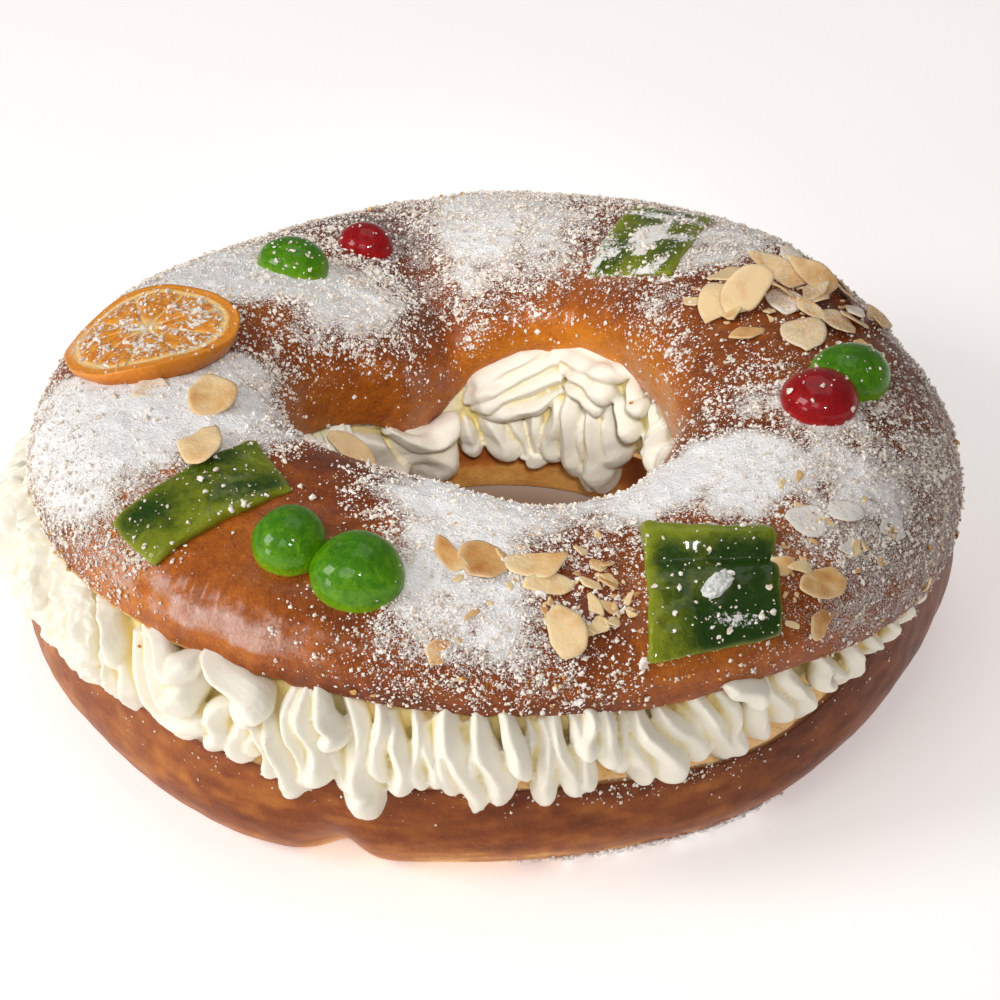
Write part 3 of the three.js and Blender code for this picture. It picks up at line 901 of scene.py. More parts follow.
@dataclass(frozen=True)
class Dusting:
    """Where one kind of sugar lies on the crown."""

    patches: tuple[Patch, ...]
    gaps: tuple[Patch, ...] = ()
    uneven: float = 1.0

    def at(self, angle: Array, across: Array) -> Array:
        """Works out how thick the sugar lies.

        Args:
            angle: ring angles in degrees.
            across: places across the crown.

        Returns:
            0 for bare crust to 1 for a full cover.
        """
        amount = np.zeros(np.broadcast(angle, across).shape)
        for patch in self.patches:
            here = patch.at(angle, across)
            amount = np.maximum(amount, here) + 0.2 * np.minimum(amount, here)
        for patch in self.gaps:
            amount = amount * (1.0 - patch.at(angle, across))
        places = CROWN.point(angle, across)
        rough = 0.26 * Noise(10.0, 3).at(places) + 0.22 * Noise(3.4, 5).at(places)
        return np.clip(amount * (1.0 + self.uneven * rough), 0.0, 1.0)


POWDER = Dusting(
    (
        Patch(-157, 0.37, 17, 0.34, 1.15),
        Patch(-162, 0.1, 16, 0.16, 0.55),
        Patch(-160, 0.64, 18, 0.2, 0.75),
        Patch(-141, 0.56, 9, 0.2, 0.6),
        Patch(-138, 0.2, 7, 0.1, 0.4),
        Patch(-111, 0.62, 8, 0.1, 0.6),
        Patch(-93, 0.62, 17, 0.14, 1.0),
        Patch(-95, 0.42, 11, 0.16, 0.85),
        Patch(-93, 0.22, 14, 0.14, 0.6),
        Patch(-92, 0.06, 16, 0.12, 0.35),
        Patch(-73, 0.42, 6, 0.2, 0.3),
        Patch(-56, 0.66, 20, 0.14, 1.05),
        Patch(-43, 0.55, 13, 0.16, 0.85),
        Patch(-36, 0.34, 13, 0.2, 0.62),
        Patch(-22, 0.5, 8, 0.2, 0.55),
        Patch(-26, 0.3, 14, 0.2, 0.45),
        Patch(-12, 0.68, 14, 0.16, 0.25),
        Patch(20, 0.8, 30, 0.1, 0.2),
        Patch(45, 0.45, 10, 0.24, 0.66),
        Patch(40, 0.72, 12, 0.1, 0.36),
        Patch(58, 0.5, 9, 0.2, 0.55),
        Patch(79, 0.5, 10, 0.28, 0.55),
        Patch(93, 0.46, 10, 0.3, 0.78),
        Patch(88, 0.78, 14, 0.14, 0.4),
        Patch(118, 0.63, 8, 0.1, 0.5),
        Patch(140, 0.62, 20, 0.14, 0.9),
        Patch(128, 0.5, 16, 0.3, 0.35),
        Patch(148, 0.42, 20, 0.2, 1.0),
        Patch(158, 0.76, 20, 0.12, 0.5),
        Patch(96, 0.1, 70, 0.16, 0.45),
    ),
    (Patch(108.5, 0.5, 4.5, 0.3, 0.7), Patch(-119, 0.28, 8, 0.25, 1.0)),
    1.1,
)
VEIL = Dusting(
    (
        Patch(-33, 0.2, 30, 0.32, 1.0),
        Patch(-10, 0.3, 18, 0.3, 0.55),
        Patch(-36, 0.05, 14, 0.16, 0.8),
        Patch(-150, 0.1, 20, 0.2, 0.9),
        Patch(-173, 0.78, 16, 0.16, 0.75),
        Patch(-92, 0.33, 20, 0.34, 0.45),
        Patch(-65, 0.45, 14, 0.3, 0.3),
        Patch(60, 0.5, 34, 0.4, 0.7),
        Patch(100, 0.45, 40, 0.4, 0.8),
        Patch(135, 0.72, 40, 0.14, 0.6),
        Patch(20, 0.6, 30, 0.35, 0.25),
        Patch(0, 0.45, 400, 0.45, 0.03),
    ),
    (Patch(-119, 0.2, 11, 0.3, 0.9),),
)


@dataclass
class CrownBread:
    """The upper half of the sliced bread: a fine skin over the crown's form."""

    around_steps: int = 1240
    over_steps: int = 196
    under_steps: int = 20
    dimple: float = 0.6
    ripple: float = 0.2
    bark: float = 0.3
    sugar_thick: float = 0.8
    crease: float = 0.5

    def skin(self) -> Skin:
        """Returns the crown's fine skin with its marks."""
        angle = (np.arange(self.around_steps) * 360.0 / self.around_steps - 180.0)[:, None]
        across = np.linspace(-CROWN.edge, 1.0 + CROWN.edge, self.over_steps)[None, :]
        angle, across = np.broadcast_arrays(angle, across)
        plain = CROWN.point(angle, across)
        sugar, veil = POWDER.at(angle, across), VEIL.at(angle, across)
        fade = smooth_step(across, -CROWN.edge, 0.04) * smooth_step(1.0 - across, -CROWN.edge, 0.04)
        lift = self.dimple * Noise(15.0, 2).at(plain) + self.ripple * Noise(4.0, 7).at(plain)
        lift = lift * (0.35 + 0.65 * fade)
        crest = smooth_step(sugar, 0.2, 0.75)
        clumps = 0.65 + 0.35 * Noise(2.6, 11).at(plain) + 0.5 * Noise(5.0, 12).at(plain)
        lift = lift + self.sugar_thick * crest * clumps + self.bark * veil * Noise(1.8, 13).at(plain)
        creased = hump(angle, -120, 19) * smooth_step(0.36 - across, 0.0, 0.2)
        folds = np.stack([angle * 2.4, across * 26.0, 0.0 * angle], axis=-1)
        lift = lift + self.crease * creased * Noise(2.8, 14).at(folds)
        top = CROWN.point(angle, across, lift)
        edge_drop = 0.5 * Noise(3.0, 21).at(plain) + 0.5 * Noise(9.0, 22).at(plain)
        low_outside = 1.0 - smooth_step(across, -CROWN.edge, 0.01)
        low_inside = 1.0 - smooth_step(1.0 - across, -CROWN.edge, 0.01)
        low = low_outside + low_inside
        top[..., 2] += edge_drop * low
        share = (np.arange(1, self.under_steps + 1) / (self.under_steps + 1))[None, :, None]
        under = top[:, -1:, :] * (1.0 - share) + top[:, :1, :] * share
        under[..., 2] += 0.5 * Noise(4.0, 31).at(under) * np.sin(np.pi * share[..., 0])
        corners = np.concatenate([top, under], axis=1)
        columns = corners.shape[1]
        torn = 0.4 + 0.5 * hump(angle, -150, 26)
        # painted highlight: a band on the lower front-left flank, just above the cream, where the crust is
        # painted paler
        painted_sheen = hump(angle, -123, 17, 4) * smooth_step(0.2 - across, 0.0, 0.1)
        painted_sheen = painted_sheen * smooth_step(across, -0.01, 0.04) * (0.8 + 0.6 * Noise(5.0, 15).at(plain))
        below = ((0, 0), (0, self.under_steps))
        marks = {
            "painted_sheen": np.pad(np.clip(painted_sheen, 0.0, 1.0), below),
            "sugar": np.pad(sugar, below),
            "veil": np.pad(veil, below),
            "golden": np.pad(self.golden(angle, across, plain), below, constant_values=0.55),
            "crumb": np.pad(torn * low**4, below, constant_values=1.0),
        }
        faces = grid_faces(self.around_steps, columns, True, True)
        return Skin(corners.reshape(-1, 3), [faces], {name: values.ravel() for name, values in marks.items()})

    @staticmethod
    def golden(angle: Array, across: Array, places: Array) -> Array:
        """Works out how pale the crust is baked, with painted shade in one crease.

        Args:
            angle: ring angles in degrees.
            across: places across the crown.
            places: the same places as points.

        Returns:
            0 for the darkest crust to 1 for the palest.
        """
        hole = smooth_step(across, 0.72, 1.0) * (0.36 + 0.34 * hump(angle, 25, 60))
        outer = 0.1 * smooth_step(0.26 - across, 0.0, 0.3)
        rim = -0.12 * smooth_step(0.02 - across, 0.0, 0.06)
        left = 0.34 * hump(angle, -134, 16) * smooth_step(0.62 - across, 0.0, 0.25)
        front = 0.22 * hump(angle, -62, 13) * smooth_step(0.5 - across, 0.0, 0.2)
        # painted shade: darker in the crease between the lumps of dough at the back-left
        painted_valley_shade = -0.16 * hump(angle, 112, 9)
        right = -0.14 * hump(angle, 0, 30) * smooth_step(0.5 - across, 0.0, 0.3)
        return 0.3 + hole + outer + rim + left + front + painted_valley_shade + right + 0.1 * Noise(28.0, 9).at(places)

    def build(self, finish: bpy.types.Material) -> Skin:
        """Makes the crown and returns its skin for what is strewn on it."""
        skin = self.skin()
        dress(skin.make("crown_crust", finish), Slot.CROWN, "crown_bread")
        return skin


@dataclass
class BaseBread:
    """The lower half of the sliced bread."""

    around_steps: int = 800
    outside: int = 54
    top: int = 46
    inside: int = 26
    bottom: int = 20

    def skin(self) -> Skin:
        """Returns the base's fine skin with its marks."""
        angle = (np.arange(self.around_steps) * 360.0 / self.around_steps - 180.0)[:, None]
        rim, inner_rim, inner = BASE.rim.at(angle), BASE.inner_rim.at(angle), BASE.inner.at(angle)
        share = (np.linspace(0.0, 1.0, self.outside) ** 1.25)[None, :]
        side_radius, side_height = BASE.side(angle, share), rim * share
        corner = BASE.side(angle, np.ones_like(angle))
        part = np.linspace(0.0, 1.0, self.top + 2)[None, 1:-1]
        top_radius, top_height = mix(corner, inner, part), mix(rim, inner_rim, part)
        turn = np.linspace(0.0, np.pi / 2.0, self.inside)[None, :]
        in_radius = inner + BASE.inner_round * (1.0 - np.cos(turn))
        in_height = inner_rim * (1.0 - np.sin(turn))
        rest = np.linspace(0.0, 1.0, self.bottom + 2)[None, 1:-1]
        low_radius = mix(inner + BASE.inner_round, BASE.side(angle, 0.0 * angle), rest)
        low_height = 0.0 * low_radius
        radius = np.concatenate([side_radius, top_radius, in_radius, low_radius], axis=1)
        height = np.concatenate([side_height, top_height, in_height, low_height], axis=1)
        angles = np.broadcast_to(angle, radius.shape)
        plain = around(angles, radius, height)
        columns = radius.shape[1]
        kind = np.repeat(np.arange(4), [self.outside, self.top, self.inside, self.bottom])[None, :]
        side, crumb, wall, sole = (kind == number for number in range(4))
        swell = 0.5 * Noise(17.0, 41).at(plain) + 0.18 * Noise(4.5, 42).at(plain)
        off_floor = smooth_step(height, 0.0, 3.0)
        radius = radius + swell * (side * 1.0 - wall * 1.0) * off_floor
        height = height + crumb * (0.45 * Noise(3.0, 43).at(plain) + 0.5 * Noise(8.0, 44).at(plain) - 0.3)
        corners = around(angles, radius, np.maximum(height, 0.0))
        level = np.pad(np.broadcast_to(share, side_radius.shape), ((0, 0), (0, columns - self.outside)))
        golden = side * self.outside_tone(angles, level, plain)
        golden = golden + wall * (0.95 - 0.55 * smooth_step(height, 9.0, 15.0))
        golden = golden + sole * 0.55 + crumb * 0.4
        edge = side * smooth_step(level, 0.99, 1.0) * 0.4 + crumb * self.toast(radius, corner)
        spilt = 0.42 * hump(angles, -72, 12)
        sugar = side * smooth_step(level, 0.78, 0.97) * spilt * (0.7 + 0.6 * Noise(5.0, 46).at(plain))
        sugar = sugar + side * 0.03 * smooth_step(level, 0.6, 1.0)
        marks = {"golden": golden, "crumb": edge, "sugar": np.clip(sugar, 0.0, 1.0)}
        faces = grid_faces(self.around_steps, columns, True, True)
        full = {name: np.broadcast_to(values, radius.shape).ravel() for name, values in marks.items()}
        return Skin(corners.reshape(-1, 3), [faces], full)

    @staticmethod
    def outside_tone(angle: Array, level: Array, places: Array) -> Array:
        """Works out how pale the outer side is: its baked tone, with painted light on its left and painted
        shade on its right.

        Args:
            angle: ring angles in degrees.
            level: shares of the height of the side.
            places: the same places as points.

        Returns:
            0 for the darkest crust to 1 for the palest.
        """
        foot = 0.62 * smooth_step(0.5 - level, 0.0, 0.4) * hump(angle, -92, 26)
        # painted light and shade: the left side, toward the key light, is made paler and the right side
        # darker
        left = 0.16 * hump(angle, -150, 35)
        right = -0.18 * hump(angle, -25, 35)
        along = np.stack(np.broadcast_arrays(angle / 3.2, places[..., 2] / 2.6, 0.0 * angle), axis=-1)
        streaks = 0.22 * Noise(1.0, 51).at(along) + 0.16 * Noise(0.45, 52).at(along)
        streaks = streaks + 0.1 * Noise(12.0, 53).at(places)
        edge = -0.25 * smooth_step(level, 0.82, 1.0)
        return 0.33 + foot + left + right + streaks + edge

    @staticmethod
    def toast(radius: Array, corner: Array) -> Array:
        """Returns how pale the cut face is: browned at its outer edge."""
        return smooth_step(corner - radius, 0.8, 2.4)

    def build(self, finish: bpy.types.Material) -> Skin:
        """Makes the base and returns its skin for what is strewn on it."""
        skin = self.skin()
        dress(skin.make("base_crust", finish), Slot.BASE, "base_bread")
        return skin


@dataclass(frozen=True)
class CreamWall:
    """One side of the cream, from the base's rim up to the crown's rim."""

    facing: float
    setback: Wave
    bulge: Wave
    head_set: float = 3.0

    def height(self, angle: Array) -> Array:
        """Returns how tall the side is."""
        return self.head(angle)[1] - self.foot(angle)[1]

    def foot(self, angle: Array) -> tuple[Array, Array]:
        """Returns radius and height of the lower edge."""
        if self.facing > 0:
            return BASE.side(angle, np.ones_like(angle)) - self.setback.at(angle), BASE.rim.at(angle)
        return BASE.inner.at(angle) + self.setback.at(angle), BASE.inner_rim.at(angle)

    def head(self, angle: Array) -> tuple[Array, Array]:
        """Returns radius and height of the upper edge."""
        across = -CROWN.edge if self.facing > 0 else 1.0 + CROWN.edge
        radius, height = CROWN.profile(angle, np.full(np.shape(angle), across))
        return radius - self.facing * self.head_set, height

    def point(self, angle: Array, share: Array, proud: Array | float) -> Array:
        """Places cream on the side.

        Args:
            angle: ring angles in degrees.
            share: 0 at the lower edge to 1 at the upper one, below 0 for what hangs lower.
            proud: millimetres that it stands out.

        Returns:
            The points.
        """
        foot_radius, foot_height = self.foot(angle)
        head_radius, head_height = self.head(angle)
        inside, hang = np.clip(share, 0.0, 1.0), np.minimum(share, 0.0)
        swell = np.sin(np.pi * (0.04 + 0.84 * inside)) ** 0.8
        radius = mix(foot_radius, head_radius, inside) + self.facing * (self.bulge.at(angle) * swell + proud)
        rim = BASE.side(angle, np.ones_like(angle)) if self.facing > 0 else BASE.inner.at(angle)
        clear = self.facing * np.maximum(self.facing * radius, self.facing * rim + 0.6)
        radius = mix(radius, clear, smooth_step(-hang, 0.0, 0.12))
        tall = np.maximum(head_height - foot_height, 6.0)
        return around(angle, radius, mix(foot_height, foot_height + tall, inside) + hang * tall)

    def depth(self, points: Array) -> Array:
        """Returns how far points lie behind the plain side, in millimetres."""
        angle = np.degrees(np.arctan2(points[:, 1], points[:, 0]))
        foot_radius, foot_height = self.foot(angle)
        head_radius, head_height = self.head(angle)
        share = np.clip((points[:, 2] - foot_height) / np.maximum(head_height - foot_height, 6.0), 0.0, 1.0)
        swell = self.facing * self.bulge.at(angle) * np.sin(np.pi * share)
        plain = mix(foot_radius, head_radius, share) + swell
        return (plain - np.linalg.norm(points[:, :2], axis=1)) * self.facing


Place = tuple[float, float]


@dataclass(frozen=True)
class Ridge:
    """One ridge of piped cream, drawn through three places of a side: ring angle and share of its height."""

    start: Place
    middle: Place
    end: Place
    half: float = 3.6
    proud: float = 2.0
    sunk_start: float = 4.0
    sunk_end: float = 1.6

    def skin(self, wall: CreamWall) -> Skin:
        """Returns the ridge on a side."""
        run = np.linspace(0.0, 1.0, 26)
        rest = 1.0 - run
        weights = np.stack([rest * (1.0 - 2.0 * run), 4.0 * run * rest, run * (2.0 * run - 1.0)])
        angle, share = np.array([self.start, self.middle, self.end]).T @ weights
        rng = np.random.default_rng(round(abs(70.0 * self.start[0] + 300.0 * self.half)))
        sway, curl = rng.uniform(-1.0, 1.0, 2) * ((2.0, 3.2) if wall.facing > 0.0 else (0.5, 0.9))
        proud = self.proud + (rng.uniform(-0.8, 1.4) if wall.facing > 0.0 else 0.0)
        neck, bulb = rng.uniform(0.5, 0.75), rng.uniform(0.12, 0.42)
        reach = np.hypot(*wall.point(angle, share, 0.0 * run)[:, :2].T)
        aside = sway * np.sin(2.0 * np.pi * run) + curl * smooth_step(run, 0.5, 1.0) * run
        angle = angle + np.degrees(aside / reach)
        depth = 1.5 * self.half
        sunk = self.sunk_start * (1.0 - smooth_step(run, 0.0, 0.35))
        sunk = sunk + self.sunk_end * smooth_step(run, 0.7, 1.0)
        spine = wall.point(angle, share, proud - sunk - 0.75 * depth)
        tip = np.sqrt(np.clip(1.0 - (np.clip(run - 0.8, 0.0, 1.0) / 0.202) ** 2, 0.01, 1.0))
        swelling = bulb * np.exp(-(((run - 0.76) / 0.16) ** 2))
        taper = (neck + (0.96 - neck) * smooth_step(run, 0.0, 0.5) + swelling) * tip
        facing = around(angle, np.full(len(run), wall.facing), np.full(len(run), 0.12))
        pinch = 0.6 * smooth_step(rest, 0.1, 0.5)
        return tube_skin(spine, self.half * taper, depth * taper, facing, 20, pinch)


@dataclass
class CreamFilling:
    """The piped whipped cream between base and crown."""

    seed: int = 24
    voxel: float = 0.56
    crispness: float = 0.55
    outer: CreamWall = CreamWall(
        1.0,
        Wave(2.5, (), ((0, 30, 12), (-55, 17, 5))),
        Wave(6.5, (), ((0, 32, -5), (-58, 14, -3), (-166, 9, 4), (178, 14, -4), (-150, 9, -2))),
    )
    inner: CreamWall = CreamWall(-1.0, Wave(-0.5), Wave(5.0, (), ((62, 20, 3), (160, 30, -2))))
    front: tuple[Ridge, ...] = (
        Ridge((-151.5, 0.35), (-147.6, 0.28), (-143.4, 0.1), 4.2, 2.2, 3.0, 1.0),
        Ridge((-150.5, 0.95), (-147, 0.8), (-143.2, 0.5), 3.4, 1.2, 3.0, 1.0),
        Ridge((-146, 1.0), (-141.6, 0.76), (-139.4, 0.3), 4.0, 2.4),
        Ridge((-142.8, 0.6), (-140.6, 0.34), (-140.9, -0.04), 4.2, 1.6),
        Ridge((-140.5, 1.05), (-136.6, 0.82), (-134.9, 0.45), 3.3, 2.0),
        Ridge((-138.6, 0.62), (-136.6, 0.34), (-137.2, -0.1), 4.4, 2.0),
        Ridge((-134.8, 0.7), (-133.6, 0.3), (-133.9, -0.08), 3.6, 0.8),
        Ridge((-133.2, 0.6), (-128.7, 0.0), (-122.3, 0.26), 4.0, 1.4, 3.0, 3.0),
        Ridge((-132.2, 0.84), (-127.8, 0.26), (-121.4, 0.5), 4.4, 3.0, 3.0, 3.0),
        Ridge((-130.8, 1.0), (-126.6, 0.54), (-120.8, 0.78), 4.4, 4.2, 3.0, 3.0),
        Ridge((-129.5, 1.06), (-125.5, 0.8), (-121.3, 1.02), 3.8, 4.8, 3.0, 3.0),
        Ridge((-118.2, 0.62), (-120.3, 0.42), (-121.3, -0.05), 3.4, 2.8),
        Ridge((-117.5, 0.62), (-118.6, 0.34), (-119.2, 0.02), 3.2, 1.6),
        Ridge((-116.5, 0.5), (-117.0, 0.35), (-117.5, 0.12), 2.6, 0.2),
        Ridge((-121.5, 1.02), (-118, 0.88), (-113.2, 0.66), 4.4, 4.8),
        Ridge((-119.5, 0.88), (-117.2, 0.73), (-114.8, 0.6), 3.2, 3.2),
        Ridge((-116, 0.74), (-114.9, 0.4), (-114, -0.03), 3.0, 1.4),
        Ridge((-114.2, 0.76), (-113.1, 0.3), (-112.2, -0.2), 4.2, 2.8),
        Ridge((-111.6, 1.0), (-111, 0.45), (-110.4, -0.16), 3.4, 2.0),
        Ridge((-110.4, 0.98), (-109.4, 0.55), (-108.9, -0.1), 3.2, 2.6),
        Ridge((-109.4, 1.04), (-107.4, 0.74), (-106.4, 0.56), 3.0, 3.6),
        Ridge((-107.5, 0.56), (-107, 0.3), (-107, -0.03), 2.8, 1.0),
        Ridge((-108, 1.04), (-104.6, 0.44), (-105, -0.35), 4.6, 2.8),
        Ridge((-103, 1.02), (-102.5, 0.6), (-102.6, 0.1), 3.0, 1.0),
        Ridge((-101.3, 0.88), (-99.7, 0.45), (-100.8, -0.05), 4.0, 2.8),
        Ridge((-98.5, 0.95), (-98, 0.5), (-98.6, 0.1), 3.0, 0.2),
        Ridge((-96.9, 0.82), (-96.4, 0.5), (-96.6, 0.1), 2.6, 1.2),
        Ridge((-95.9, 0.9), (-95.2, 0.4), (-94.9, -0.02), 2.6, 2.0),
        Ridge((-94.8, 1.02), (-93.8, 0.5), (-93.8, -0.21), 3.8, 2.4),
        Ridge((-93.2, 0.85), (-92.4, 0.4), (-91.7, -0.08), 2.8, 1.2),
        Ridge((-91.6, 1.04), (-90.6, 0.5), (-89.8, -0.07), 4.3, 3.2),
        Ridge((-89, 1.04), (-88, 0.74), (-86.9, 0.42), 3.2, 4.4),
        Ridge((-87.2, 0.95), (-86.6, 0.6), (-86.6, 0.22), 3.0, 0.4),
        Ridge((-84.9, 0.92), (-84.6, 0.45), (-84.2, -0.1), 3.2, 2.2),
        Ridge((-83.8, 1.02), (-82.6, 0.5), (-81.6, 0.0), 3.0, 2.8),
        Ridge((-82.2, 1.04), (-80.5, 0.6), (-79.6, -0.03), 3.2, 1.6),
        Ridge((-80.7, 1.04), (-79.6, 0.85), (-78.8, 0.58), 3.2, 3.6),
        Ridge((-78, 1.04), (-77.5, 0.75), (-76.9, 0.42), 3.0, 3.0),
        Ridge((-76, 1.0), (-75.5, 0.6), (-75.4, 0.15), 2.8, 0.2),
        Ridge((-74.5, 0.8), (-73.7, 0.38), (-72.3, -0.04), 3.6, 2.2),
        Ridge((-74.4, 1.04), (-71.9, 0.55), (-68.7, -0.03), 3.6, 2.8),
        Ridge((-71.8, 1.04), (-69.2, 0.62), (-66.9, 0.14), 3.6, 2.4),
        Ridge((-69.4, 0.9), (-66.9, 0.5), (-65.1, 0.02), 2.8, 0.4),
        Ridge((-67.8, 1.02), (-64.8, 0.5), (-62.8, -0.02), 3.8, 2.6),
        Ridge((-65.3, 0.92), (-62.3, 0.45), (-59.5, -0.03), 3.6, 2.0),
        Ridge((-64.2, 1.05), (-62.3, 0.93), (-60.2, 0.78), 3.0, 3.6),
        Ridge((-61.4, 1.0), (-58.9, 0.5), (-57.1, 0.0), 3.6, 2.4),
        Ridge((-59.6, 1.04), (-56.6, 0.6), (-54.2, 0.05), 3.4, 1.8),
        Ridge((-56.3, 1.04), (-53.2, 0.55), (-49.7, 0.0), 3.6, 2.0),
        Ridge((-53, 1.04), (-50.9, 0.8), (-49.8, 0.52), 2.8, 3.0),
        Ridge((-50.9, 1.04), (-46.5, 0.5), (-41.8, -0.02), 3.2, 2.2),
        Ridge((-47, 1.04), (-44.3, 0.6), (-42.5, 0.2), 2.8, 1.2),
        Ridge((-42.3, 1.04), (-39.6, 0.5), (-37.6, 0.0), 2.6, 1.4),
        Ridge((-38.6, 1.04), (-36, 0.5), (-34.3, 0.02), 2.2, 1.2),
        Ridge((-35, 1.04), (-33, 0.5), (-31, 0.06), 2.0, 1.0),
    )
    hole: tuple[Ridge, ...] = (
        Ridge((72, 1.03), (57, 1.04), (39, 1.04), 3.2, 2.5),
        Ridge((73, 0.96), (57.5, 0.95), (42, 0.98), 3.4, 5.4),
        Ridge((70, 0.85), (56, 0.84), (46, 0.7), 3.6, 6.4),
        Ridge((66, 0.74), (57, 0.7), (49, 0.58), 3.2, 6.0),
        Ridge((41, 1.02), (36, 0.85), (30, 0.8), 3.0, 3.4),
        Ridge((64, 0.66), (62.5, 0.3), (61, -0.3), 3.8, 6.4),
        Ridge((57, 0.64), (52, 0.3), (54, -0.43), 4.2, 6.6),
        Ridge((59.5, 0.5), (57.5, 0.1), (57.5, -0.44), 3.4, 5.0),
        Ridge((50, 0.62), (47, 0.3), (49.5, -0.1), 3.0, 5.0),
        Ridge((46, 0.72), (40, 0.6), (37, 0.42), 3.2, 4.6),
        Ridge((74, 1.04), (87, 1.0), (99, 0.95), 3.4, 4.5),
        Ridge((71, 0.93), (85, 0.86), (100.5, 0.82), 3.6, 6.0),
        Ridge((70, 0.8), (84, 0.72), (100, 0.7), 3.6, 6.6),
        Ridge((68, 0.66), (80, 0.52), (97, 0.6), 3.4, 6.0),
        Ridge((95, 0.55), (90, 0.25), (84, -0.1), 4.2, 4.4),
        Ridge((88, 0.5), (82, 0.15), (79, -0.2), 4.2, 4.0),
        Ridge((78, 0.5), (75.5, 0.1), (77, -0.2), 4.2, 4.6),
        Ridge((70, 0.6), (68, 0.3), (73.5, -0.17), 3.8, 4.4),
        Ridge((101, 0.6), (98.5, 0.25), (95, -0.04), 3.6, 2.0),
        Ridge((132, 1.0), (122, 0.62), (112, 0.08), 9.5, 6.0, 4.0, 0.5),
        Ridge((141, 1.04), (123, 0.86), (105, 0.92), 3.6, 8.6),
        Ridge((151, 0.82), (141, 0.56), (127, 0.06), 6.0, 4.2),
        Ridge((158, 1.0), (152, 0.5), (141, 0.04), 5.0, 3.2),
        Ridge((27, 1.02), (22, 0.7), (20, 0.26), 2.8, 2.0),
        Ridge((36, 0.6), (30, 0.3), (26, 0.0), 2.6, 1.2),
    )

    def core(self) -> Skin:
        """Returns the ring of cream behind the ridges."""
        steps, levels, behind_outer, behind_inner = 240, 8, -5.0, -2.5
        angle = (np.arange(steps) * 360.0 / steps - 180.0)[:, None]
        share = np.linspace(0.04, 1.02, levels)[None, :]
        angles, shares = np.broadcast_arrays(angle, share)
        outside = self.outer.point(angles, shares, behind_outer)
        inside = self.inner.point(angles, shares, behind_inner)[:, ::-1]
        corners = np.concatenate([outside, inside], axis=1)
        return Skin(corners.reshape(-1, 3), [grid_faces(steps, 2 * levels, True, True)])

    @staticmethod
    def piped(
        wall: CreamWall, first: float, last: float, slide: float, random: np.random.Generator
    ) -> list[Ridge]:
        """Pipes groups of ridges along a stretch of a side.

        Args:
            wall: the side.
            first: ring angle of the first group, in degrees.
            last: ring angle that ends the stretch.
            slide: how far a ridge leans over its length, in millimetres.
            random: the seeded source of the unevenness.

        Returns:
            The ridges.
        """
        ridges = []
        angle = first
        while angle < last:
            tall = float(wall.height(np.array([angle]))[0])
            size = float(np.clip(tall / 27.0, 0.35, 1.1))
            degree = 180.0 / (math.pi * float(wall.foot(np.array([angle]))[0][0])) * size
            count, pitch = int(random.integers(3, 5)), random.uniform(5.4, 6.6) * degree
            lean, bow = slide * degree * random.uniform(0.5, 1.3), random.uniform(-2.2, 2.6) * degree
            for k in range(count):
                at, middle = angle + k * pitch, 1.0 - abs(k - (count - 1) / 2.0) / count
                low = random.uniform(-0.06, 0.08) - 0.12 * middle * (size > 0.7)
                end = (at + lean * random.uniform(0.8, 1.2), low)
                half = size * random.uniform(3.2, 4.1)
                proud = 2.2 * middle * size + 0.8
                ridges.append(Ridge((at, 1.03), (at + lean * 0.42 + bow, 0.5), end, half, proud))
            if size > 0.6:
                for k in range(int(random.integers(1, 4))):
                    at = angle + (k + random.uniform(0.0, 0.5)) * pitch
                    spot, end = (at + 2.4 * degree, 0.74), (at + lean * 0.7, random.uniform(0.4, 0.6))
                    ridges.append(Ridge((at, 1.04), spot, end, size * 3.4, 4.2 * size))
            angle += count * pitch * random.uniform(0.96, 1.08)
        return ridges

    def lumps(self, random: np.random.Generator) -> list[Skin]:
        """Returns the rough lumps that swell out at the left."""
        skins = []
        for _ in range(80):
            angle, share = random.uniform(-178.0, -152.0), random.uniform(0.2, 0.97)
            size = random.uniform(1.8, 4.0)
            ball = ball_skin(10, 14)
            centre = self.outer.point(np.array([angle]), np.array([share]), random.uniform(-2.0, 0.8))
            rough = 1.0 + 0.2 * Noise(0.7, int(random.integers(1, 99))).at(ball.corners)
            stretch = random.uniform((0.8, 0.8, 0.55), (1.3, 1.3, 0.95))
            skins.append(Skin(ball.corners * rough[:, None] * stretch * size + centre, ball.faces))
        return skins

    def build(self, finish: bpy.types.Material) -> Skin:
        """Makes the cream and returns its skin for what is strewn on it."""
        random = np.random.default_rng(self.seed)
        around_outside = self.piped(self.outer, -30.0, 211.0, 7.0, random)
        around_inside = self.piped(self.inner, 153.0, 384.0, -6.0, random)
        parts = [self.core(), *self.lumps(random)]
        parts.extend(ridge.skin(self.outer) for ridge in (*self.front, *around_outside))
        parts.extend(ridge.skin(self.inner) for ridge in (*self.hole, *around_inside))
        skin = self.softened(self.grown(Skin.joined(parts).make("cream_draft", finish)))
        dress(skin.make("whipped_cream", finish), Slot.CREAM, "cream")
        return skin

